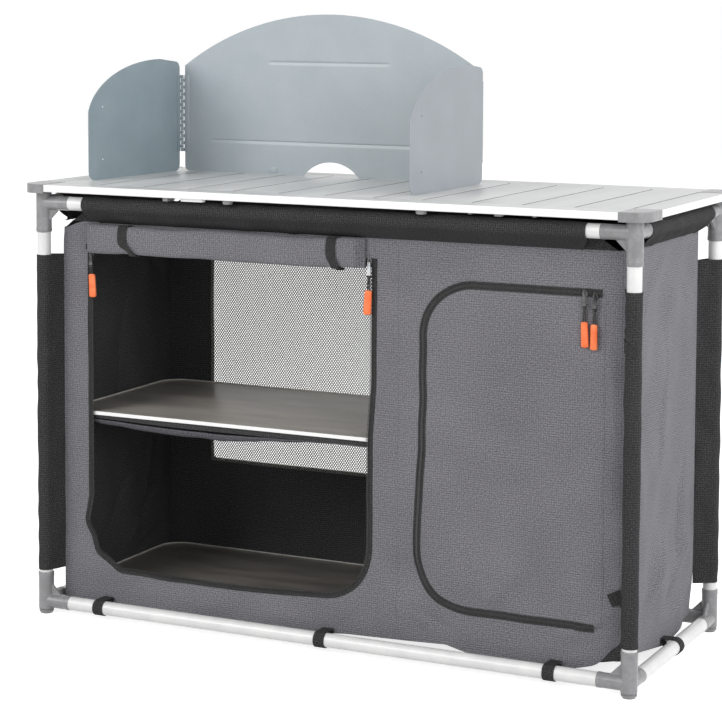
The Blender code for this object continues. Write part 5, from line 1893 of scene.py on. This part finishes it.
@dataclass
class ZipPull:
    """A zip slider with a knotted cord and an orange moulded pull."""

    node: str
    body: str
    wall: Cupboard
    shift: Pair
    lean: float
    tilt: float
    tongue: Pair
    pull_width: float
    tongue_finish: Finish
    pull_length: float = 0.044
    pull_depth: float = 0.0058

    def build(self) -> None:
        """Make the slider, then the cord and pull as one moulding on it."""
        low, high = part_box(self.node)
        low, high = low + Vector((0, 0, self.shift[1])), high + Vector((0, 0, self.shift[1]))
        x = (low.x + high.x) / 2 + self.shift[0]
        out = self.wall.at.front - float(self.wall.rise(np.array([x]), np.array([high.z - 0.005]))[0])
        middle = out - 0.0054
        top = low.z + self.pull_length
        hook = top + self.tongue[1]
        self.slider(x, top + self.tongue[0] + 0.004, out, hook)
        knot = hook - 0.003
        cords = []
        for side in (-1, 1):
            path = np.array([(side * 0.0012, hook + 0.003), (side * 0.0026, hook + 0.001),
                             (side * 0.001, knot + 0.001), (side * 0.0009, knot - 0.002),
                             (side * 0.0016, (knot + top) / 2 - 0.001), (side * 0.0017, top - 0.002),
                             (0.0, top - 0.0075)])
            smooth = columns(*(np.interp(np.linspace(0, 6, 31), range(7), path[:, k]) for k in (0, 1)))
            drift = self.lean * np.clip((hook - smooth[:, 1]) / (hook - top), 0, 1)
            line = columns(x + smooth[:, 0] + drift, middle, smooth[:, 1])
            cords.append(sweep("cord", line, round_section(0.0014, 8), FRONT))
        bead = spin("knot", [(0, -0.0034), (0.0022, -0.0026), (0.0038, -0.0009), (0.0038, 0.0009),
                             (0.0022, 0.0026), (0, 0.0034)], (x + self.lean * 0.5, middle, knot), (0, 0, 1),
                    steps=14)
        cord = joined("cord", cords + [bead])
        hung = x + self.lean
        pull = self.pull(hung, middle, top)
        pull.data.transform(Matrix.Translation((hung, 0, top)) @ Matrix.Rotation(self.tilt, 4, "Y")
                            @ Matrix.Translation((-hung, 0, -top)))
        dress(pull, ORANGE)
        dress(cord, BLACK_PLASTIC)
        settle(joined(self.node + "_cord_and_tab", [pull, cord]), self.body, (), [self.node])

    def pull(self, x: float, y: float, top: float) -> Piece:
        """The moulded pull, waisted and with a ridged grip."""
        rows = []
        for t in np.linspace(0, 1, 40):
            z = top - self.pull_length * t
            end = min(t, 1 - t) * self.pull_length
            close = math.sqrt(max(0.0, 1 - (1 - min(1.0, end / 0.0035)) ** 2))
            grip = 0.00025 * math.sin(t * 60) if 0.3 < t < 0.9 else 0.0
            half_w = (self.pull_width / 2 * (0.9 + 0.1 * t) + grip) * max(close, 0.03)
            half_d = (self.pull_depth / 2 + grip) * max(close, 0.03)
            angles = np.linspace(0, 2 * math.pi, 24, endpoint=False)
            rows.append(columns(x + power(np.cos(angles), 0.6) * half_w,
                                y + power(np.sin(angles), 0.6) * half_d, z))
        return skin("pull", np.array(rows))

    def slider(self, x: float, z: float, wall_y: float, hook: float) -> None:
        """Slider on the zip, with the eye and the steel tongue that the cord hangs from."""
        near = wall_y - 0.0018
        outline = Outline.rounded([(x - 0.0034, z + 0.006), (x - 0.005, z - 0.001), (x - 0.004, z - 0.006),
                                   (x + 0.004, z - 0.006), (x + 0.005, z - 0.001), (x + 0.0034, z + 0.006)],
                                  [0.001] * 6, 0.004)

        def standing(face: float) -> Callable[[Array], Array]:
            """Stand a flat shape on the front, with its back at this depth."""
            return lambda points: columns(points[:, 0], face - points[:, 2], points[:, 1])

        shell = slab("shell", outline.points, 0.0, 0.0026, 0.0007, standing(near))
        eye_path = np.array([(x, near - 0.0022, z + 0.004), (x, near - 0.005, z + 0.002),
                             (x, near - 0.0052, z - 0.003), (x, near - 0.0022, z - 0.005)])
        eye = sweep("eye", eye_path, flat_section(0.0024, 0.001), (1, 0, 0))
        settle(joined(self.node + "_slider", [shell, eye]), self.body, [DARK_METAL])
        strip = Outline.rounded([(x - 0.0026, z - 0.001), (x - 0.0038, hook - 0.001),
                                 (x + 0.0038, hook - 0.001), (x + 0.0026, z - 0.001)],
                                [0.002, 0.0022, 0.0022, 0.002], 0.003)
        tongue = slab(self.node + "_tongue", strip.points, 0.0, 0.0012, 0.0003, standing(wall_y - 0.006))
        settle(tongue, self.body, [self.tongue_finish])


# Tabletop


@dataclass
class Tabletop:
    """Planked top with its edge profiles, corner caps and the fittings under its front edge."""

    at: Places
    planks: int = 12
    joint: float = 0.0026
    plank_rim: float = 0.00015

    def build(self) -> None:
        """Make every piece of the top."""
        for side in ("front", "back", "left", "right"):
            self.profile(side)
        for corner in Corner:
            self.cap(corner)
        self.panel()
        self.fittings()

    def profile(self, side: str) -> None:
        """Painted edge profile with rounded edges; its top takes the laminate's darker tone, painted shade
        for the flat top.
        """
        low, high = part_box(side + "_profile")
        obj = block(side + "_edge", tuple(low), tuple(high), 0.0011, 3)
        dress(obj, EDGE_PAINT, LAMINATE)
        # Upward faces get the laminate: painted shade on the top of the white profile.
        for polygon in obj.data.polygons:
            polygon.material_index = 1 if polygon.normal.z > 0.9 else 0
        settle(obj, "tabletop", (), [side + "_profile"], SHEET_CREASE)

    def cap(self, corner: Corner) -> None:
        """Moulded corner cap."""
        node = corner.label + "_corner_cap"
        sx, sy = corner.value
        low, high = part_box(("left" if sx < 0 else "right") + "_profile")
        half_x, half_y = abs(CAD_BOX[0].x), abs(CAD_BOX[0].y)
        run_y = max(abs(low.y), abs(high.y)) + 0.0003
        run_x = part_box("front_profile")[1].x + 0.0003
        radius = 0.032
        outline = Outline.rounded([(run_x, run_y), (half_x, run_y), (half_x, half_y), (run_x, half_y)],
                                  [0.0005, 0.0005, radius, 0.0005], 0.003)
        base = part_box(node)
        top, bottom = base[1].z, self.at.table_top - 0.016

        def place(points: Array) -> Array:
            """Carry the cap to its corner."""
            return columns(sx * points[:, 0], sy * points[:, 1], points[:, 2])

        obj = slab(corner.label + "_cap_moulding", outline.points, bottom, top, 0.0016, place, 4)
        peg = spin("peg", [(0, 0), (0.0048, 0), (0.006, 0.001), (0.006, 0.012), (0, 0.012)],
                   (sx * self.at.post_x, sy * self.at.post_y, base[0].z), (0, 0, 1), steps=24)
        settle(joined(obj.name, [obj, peg]), "tabletop", [GREY_MOULDING], [node])

    def panel(self) -> None:
        """Planks side by side on a carrier; the near black of the carrier and of the planks' sides paints the
        shade in the joints.
        """
        low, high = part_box("plank_panel")
        pitch = (high.x - low.x) / self.planks
        carrier = block("plank_carrier", tuple(low + Vector((0.0005, 0.0005, 0))),
                        (high.x - 0.0005, high.y - 0.0005, low.z + 0.0035), 0.0005)
        settle(carrier, "tabletop", [JOINT_SHADE])
        half = (pitch - self.joint) / 2
        plank = block("plank_row", (-half, low.y + 0.0014, -(high.z - low.z) + 0.0036),
                      (half, high.y - 0.0014, 0), self.plank_rim, 3)
        path = np.array([(low.x + pitch / 2, 0, high.z), (high.x - pitch / 2, 0, high.z)])
        Repeat.along(plank, path, pitch, (0, 0, 1), LAMINATE)
        # The planks' side faces take the painted shade of the joints.
        dress(plank, LAMINATE, JOINT_SHADE)
        for polygon in plank.data.polygons:
            polygon.material_index = int(abs(polygon.normal.x) > 0.7)
        settle(plank, "tabletop", (), ["plank_panel"], SHEET_CREASE)

    def fittings(self) -> None:
        """Small clips and bumpers under the front edge."""
        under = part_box("front_profile")[0].z
        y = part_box("front_profile")[0].y + 0.01
        for number, (x, radius) in enumerate(((-0.174, 0.0095), (0.198, 0.01)), 1):
            profile = [(0, -0.0076), (radius - 0.003, -0.0076), (radius - 0.001, -0.0068), (radius, -0.0015),
                       (radius - 0.002, 0), (0, 0)]
            obj = spin(f"edge_bumper_{number}", profile, (x, y + 0.004, under), (0, 0, 1), steps=32)
            settle(obj, "tabletop", [GREY_MOULDING])
        clips = ((-0.298, 0.01, 0.007, GREY_MOULDING), (-0.244, 0.044, 0.0058, EDGE_PAINT),
                 (0.288, 0.006, 0.003, GREY_MOULDING), (0.339, 0.013, 0.0045, GREY_MOULDING),
                 (0.403, 0.007, 0.003, GREY_MOULDING))
        for number, (x, width, drop, finish) in enumerate(clips, 1):
            obj = block(f"edge_clip_{number}", (x - width / 2, y - 0.002, under - drop),
                        (x + width / 2, y + 0.01, under), 0.0009, 2)
            settle(obj, "tabletop", [finish])


# Windscreen


@dataclass
class Windscreen:
    """Enamelled back sheet with pressed lines, two wings and their piano hinges."""

    at: Places
    sheet: float = 0.0012
    foot: float = 0.01
    knuckles: int = 22
    knuckle_radius: float = 0.0029
    leaf: float = 0.014
    hinge_low: float = 0.038
    hinge_high: float = 0.188
    hinge_gap: float = 0.0045
    splays: Pair = (3.3, -1.5)

    def __post_init__(self) -> None:
        """Read the sheets' places."""
        low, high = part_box("screen_back")
        self.low, self.high = low, high
        self.base = low.z
        reach = self.hinge_gap + self.knuckle_radius
        self.left, self.right = low.x + reach + 0.0001, high.x - reach - 0.0001
        self.y = high.y - self.sheet / 2
        self.hinge_y = self.y - self.sheet / 2 - 0.003

    def back_outline(self) -> Outline:
        """Back sheet: arched top and a low arch at its foot for a hose."""
        half = (self.right - self.left) / 2
        middle = (self.left + self.right) / 2
        shoulder, crown = self.at.table_top + 0.207, self.high.z
        rise = crown - shoulder
        radius = (half ** 2 + rise ** 2) / (2 * rise)
        spread = math.asin(half / radius)
        arch_half, arch_tall, arch_x = 0.058, 0.027, middle + 0.007
        arch = (arch_half ** 2 + arch_tall ** 2) / (2 * arch_tall)
        arch_spread = math.asin(arch_half / arch)
        points = arc((self.left + self.foot, self.base + self.foot), self.foot, math.pi, 1.5 * math.pi, 8)
        points += arc((arch_x, self.base + arch_tall - arch), arch, math.pi / 2 + arch_spread,
                      math.pi / 2 - arch_spread, 26)
        points += arc((self.right - self.foot, self.base + self.foot), self.foot, 1.5 * math.pi, 2 * math.pi,
                      8)
        points += arc((middle, crown - radius), radius, math.pi / 2 - spread, math.pi / 2 + spread, 60)
        return Outline(np.array(points))

    def pressed(self, x: Array, z: Array) -> Array:
        """Small steps of the back sheet at its two pressed lines."""
        total = np.zeros(np.shape(x))
        for start, end, height, depth in ((-0.31, -0.052, 1.017, 0.0016), (-0.438, 0.11, 0.863, 0.0018)):
            ends = soft_step((x - start) / 0.006) * soft_step((end - x) / 0.006)
            flank = np.where(z > height, 0.0011, 0.003)
            total += depth * ends * np.exp(-((z - height) / flank) ** 2)
        return total

    def build(self) -> None:
        """Make the back, the wings and the hinges."""
        outline = self.back_outline()
        cut = Cut((self.left, self.base), (self.right, self.high.z), 0.0046, [outline], step_up=0.0015)

        def place(x: Array, z: Array) -> Array:
            """Points of the back sheet's inner face."""
            return columns(x, self.y - self.sheet / 2 + self.pressed(x, z), z)

        obj = cut.sheet("screen_back_sheet", place, FRONT, self.sheet, (SCREEN_ENAMEL, SCREEN_ENAMEL))
        settle(obj, "windscreen", (), ["screen_back"], SHEET_CREASE)
        self.tabs()
        # Each wing gets its own darker copy of the enamel: painted shade.
        self.wing("left", -1, self.left - self.hinge_gap, math.radians(self.splays[0]), SHADED_WING_ENAMEL)
        self.wing("right", 1, self.right + self.hinge_gap, math.radians(self.splays[1]), SHADED_ENAMEL)

    def tabs(self) -> None:
        """Folded tabs along the foot of the back sheet."""
        face = self.y - self.sheet / 2
        for number, (x, width, tall) in enumerate(((0.085, 0.085, 0.013), (-0.3, 0.018, 0.011)), 1):
            obj = block(f"screen_tab_{number}", (x - width / 2, face - 0.001, self.base + 0.003),
                        (x + width / 2, face + 0.0004, self.base + 0.003 + tall), 0.0003)
            settle(obj, "windscreen", [SCREEN_ENAMEL])

    def wing_outline(self) -> tuple[list[Pair], list[Outline]]:
        """Wing outline and its two holes, from the hinge edge and up from the foot."""
        near, length = self.hinge_gap, 0.301
        far = near + length
        front_foot, back_foot, back_top = 0.018, 0.014, 0.014
        shoulder, spring, height, crown, crown_at = 0.111, 0.128, 0.215, 0.221, 0.068
        points = arc((near + back_foot, back_foot), back_foot, math.pi, 1.5 * math.pi, 8)
        points += arc((far - front_foot, front_foot), front_foot, 1.5 * math.pi, 2 * math.pi, 8)
        reach = length - crown_at
        drop = crown - shoulder
        stretch = reach / math.sqrt(1 - ((spring - shoulder) / drop) ** 2)
        start = math.acos(reach / stretch)
        for angle in np.linspace(start, math.pi / 2, 28):
            points.append((near + crown_at + stretch * math.cos(angle), shoulder + drop * math.sin(angle)))
        points += arc((near + back_top, height - back_top), back_top, math.pi / 2, math.pi, 8)
        holes = [Outline(np.array(arc((far - 0.045, z), 0.0025, 0, 2 * math.pi, 16)[:-1]))
                 for z in (0.038, 0.136)]
        return points, holes

    def wing(self, side: str, sign: int, axis_x: float, splay: float, finish: Finish) -> None:
        """One wing with its leaf, knuckles and pin; the back sheet's half of the hinge comes with it."""
        points, holes = self.wing_outline()
        far = max(p[0] for p in points)
        top = max(p[1] for p in points)
        cut = Cut((self.hinge_gap, 0.0), (far, top), 0.0034, [Outline(np.array(points))], holes)
        turn = Matrix.Rotation(sign * splay - math.pi / 2, 3, "Z")
        body = side + "_wing"

        def to_frame(local: Array) -> Array:
            """Turn points from the wing's own axes about the hinge."""
            flipped = local * np.array([1, sign, 1])
            return flipped @ np.array(turn).T + np.array([axis_x, self.hinge_y, self.base])

        def place(u: Array, v: Array) -> Array:
            """Points of the wing's outer face."""
            return to_frame(columns(u, 0.003 + self.sheet, v))

        facing = tuple(Vector(to_frame(np.array([[0, 1.0, 0]]))[0])
                       - Vector((axis_x, self.hinge_y, self.base)))
        obj = cut.sheet(body + "_sheet", place, facing, self.sheet, (finish, finish))
        settle(obj, body, (), ["screen_" + body], SHEET_CREASE)
        outline = [(self.hinge_gap - 0.001, self.hinge_low), (self.leaf, self.hinge_low),
                   (self.leaf, self.hinge_high), (self.hinge_gap - 0.001, self.hinge_high)]

        def wing_leaf(points: Array) -> Array:
            """Lay the wing's leaf on its inner face."""
            return to_frame(columns(points[:, 0], points[:, 2], points[:, 1]))

        def back_leaf(points: Array) -> Array:
            """Lay the back sheet's leaf on its inner face."""
            return columns(axis_x - sign * points[:, 0], self.hinge_y + points[:, 2],
                           self.base + points[:, 1])

        leaf = slab(body + "_leaf", outline, 0.0018, 0.003, 0.0003, wing_leaf, 2)
        settle(leaf, body, [finish])
        leaf = slab(f"screen_{side}_leaf", outline, 0.0018, 0.003, 0.0003, back_leaf, 2)
        settle(leaf, "windscreen", [SCREEN_ENAMEL])
        self.hinge(side, sign, axis_x, turn)

    def hinge(self, side: str, sign: int, axis_x: float, turn: Matrix) -> None:
        """Knuckles by turns on the wing and on the back sheet, round one pin."""
        pitch = (self.hinge_high - self.hinge_low) / self.knuckles
        radius, inner = self.knuckle_radius, 0.0013
        half = pitch / 2 - 0.00025
        for part, body, first in (("wing", side + "_wing", 1), ("screen", "windscreen", 0)):
            profile = [(inner, -half), (radius - 0.0003, -half), (radius, -half + 0.0003),
                       (radius, half - 0.0003), (radius - 0.0003, half), (inner, half)]
            knuckle = spin(f"{side}_{part}_knuckles", profile, (0, 0, 0), (1, 0, 0), ring=True, steps=16)
            arm = block("arm", (-half, -0.0006, 0.0016), (half, self.hinge_gap + 0.0004, 0.0028), 0.0002, 1)
            away = Vector(turn @ Vector((1, 0, 0))) if part == "wing" else Vector((-sign, 0, 0))
            face = Vector(turn @ Vector((0, sign, 0))) if part == "wing" else Vector((0, 1, 0))
            up = Vector((0, 0, 1))
            basis = Matrix((up, away, face)).transposed().to_4x4()
            single = joined(knuckle.name, [knuckle, arm])
            rows = [self.base + self.hinge_low + pitch * (index + 0.5)
                    for index in range(first, self.knuckles, 2)]
            copies = [copied(single, "knuckle", Matrix.Translation((axis_x, self.hinge_y, z)) @ basis)
                      for z in rows]
            bpy.data.objects.remove(single)
            # The knuckles take the left wing's darker copy of the enamel: painted shade.
            settle(outward(joined(f"{side}_{part}_knuckle_row", copies)), body, [SHADED_WING_ENAMEL])
        tall = self.hinge_high - self.hinge_low
        pin = spin(side + "_hinge_pin", [(0, 0), (0.0009, 0), (0.0012, 0.0003), (0.0012, tall),
                                         (0.0009, tall + 0.0004), (0, tall + 0.0004)],
                   (axis_x, self.hinge_y, self.base + self.hinge_low - 0.0002), (0, 0, 1), steps=16)
        settle(pin, side + "_wing", [STEEL])


# Studio


@dataclass
class Studio:
    """Camera at the photograph's place, soft lamps, pale floor and white surround."""

    place: Triple = (1.74915, -3.64773, 1.13918)
    yaw: float = 0.45376
    pitch: float = 0.07789
    roll: float = 0.00436
    lens: float = 111.974
    shift: float = -0.25

    def build(self) -> None:
        """Make the camera, the lamps, the floor and the surround."""
        self.camera()
        self.surround()
        self.floor()
        self.lamp("key", (-2.2, -3.6, 2.6), (0.0, 0.0, 0.45), 2.4, 100.0)
        self.lamp("fill", (3.6, -2.6, 1.9), (0.0, 0.0, 0.5), 2.6, 66.0)
        self.lamp("side", (2.8, 0.3, 1.9), (0.5, 0.0, 0.5), 1.6, 34.0)
        self.lamp("overhead", (0.3, 0.6, 3.6), (0.0, 0.0, 0.6), 2.6, 14.0)
        bpy.context.scene.view_settings.view_transform = "Standard"

    def camera(self) -> None:
        """Camera as fitted to the photograph."""
        data = bpy.data.cameras.new("photo_camera")
        data.lens = self.lens
        data.sensor_width = 36.0
        data.shift_y = self.shift
        data.clip_start, data.clip_end = 0.05, 60.0
        ahead = Vector((-math.sin(self.yaw) * math.cos(self.pitch), math.cos(self.yaw) * math.cos(self.pitch),
                        -math.sin(self.pitch)))
        right = Vector((math.cos(self.yaw), math.sin(self.yaw), 0))
        up = right.cross(ahead)
        side = right * math.cos(self.roll) + up * math.sin(self.roll)
        top = up * math.cos(self.roll) - right * math.sin(self.roll)
        matrix = Matrix((side, top, -ahead)).transposed().to_4x4()
        obj = linked("photo_camera", data)
        obj.matrix_world = Matrix.Translation(self.place) @ matrix
        bpy.context.scene.camera = obj

    def lamp(self, name: str, place: Triple, target: Triple, size: float, watts: float) -> None:
        """Soft square lamp aimed at a point."""
        data = bpy.data.lights.new(name, "AREA")
        data.size = size
        data.energy = watts
        obj = linked(name, data)
        obj.location = place
        obj.rotation_mode = "QUATERNION"
        obj.rotation_quaternion = (Vector(target) - Vector(place)).to_track_quat("-Z", "Y")

    @staticmethod
    def seen(net: NodeNet) -> Socket:
        """1 for camera, glossy and transmitted rays, 0 for the others."""
        path = net.add("ShaderNodeLightPath")
        other = net.math("MAXIMUM", path.outputs["Is Glossy Ray"], path.outputs["Is Transmission Ray"])
        return net.math("MAXIMUM", path.outputs["Is Camera Ray"], other)

    def surround(self) -> None:
        """World that lights softly and shows white to the camera and in reflections."""
        world = bpy.data.worlds.new("surround")
        world.use_nodes = True
        bpy.context.scene.world = world
        net = NodeNet(world.node_tree)
        world.node_tree.nodes.clear()
        strength = net.spread(self.seen(net), 0.0, 1.0, 0.42, 1.0)
        background = net.add("ShaderNodeBackground", (1.0, 1.0, 1.0, 1.0), strength)
        net.add("ShaderNodeOutputWorld", background.outputs[0])

    def floor(self) -> None:
        """Pale floor that keeps a soft shadow."""
        obj = block("studio_floor", (-9, -9, -0.05), (9, 12, 0), 0.01)
        made = bpy.data.materials.new("studio_floor")
        made.use_nodes = True
        net = NodeNet(made.node_tree)
        glow = net.spread(self.seen(net), 0.0, 1.0, 0.0, 0.8)
        values = {"Base Color": (0.72, 0.72, 0.72, 1), "Roughness": 0.9, "Specular IOR Level": 0.1,
                  "Emission Color": (1, 1, 1, 1), "Emission Strength": glow}
        net.fill(made.node_tree.nodes["Principled BSDF"], values)
        obj.data.materials.append(made)


def main() -> None:
    """Build the sub-assemblies in order."""
    logging.basicConfig(level=logging.INFO, format="%(name)s: %(message)s")
    Studio().build()
    at = Places.read()
    TubeFrame(at).build()
    wall = Cupboard(at)
    wall.build()
    ZipDoor(wall).build()
    RolledDoor(wall).build()
    Sleeves(at).build()
    Boards().build()
    for node, body, shift, lean, tilt, tongue in (
            ("bay_left_zip_pull", "bay_left_slider", (0.0062, 0.0), 0.002, -0.05, (0.033, 0.016)),
            ("bay_right_zip_pull", "bay_right_slider", (0.0022, 0.004), -0.0012, 0.05, (0.0455, 0.0255)),
            ("door_outer_zip_pull", "door_outer_slider", (0.0015, -0.0013), -0.001, 0.0, (0.042, 0.026)),
            ("door_inner_zip_pull", "door_inner_slider", (0.0005, 0.0018), 0.0, -0.04, (0.042, 0.026))):
        width = 0.0128 if node.startswith("door") else 0.0146
        metal = STEEL if body == "bay_right_slider" else DARK_METAL
        ZipPull(node, body, wall, shift, lean, tilt, tongue, width, metal).build()
    Tabletop(at).build()
    Windscreen(at).build()


if __name__ == "__main__":
    main()
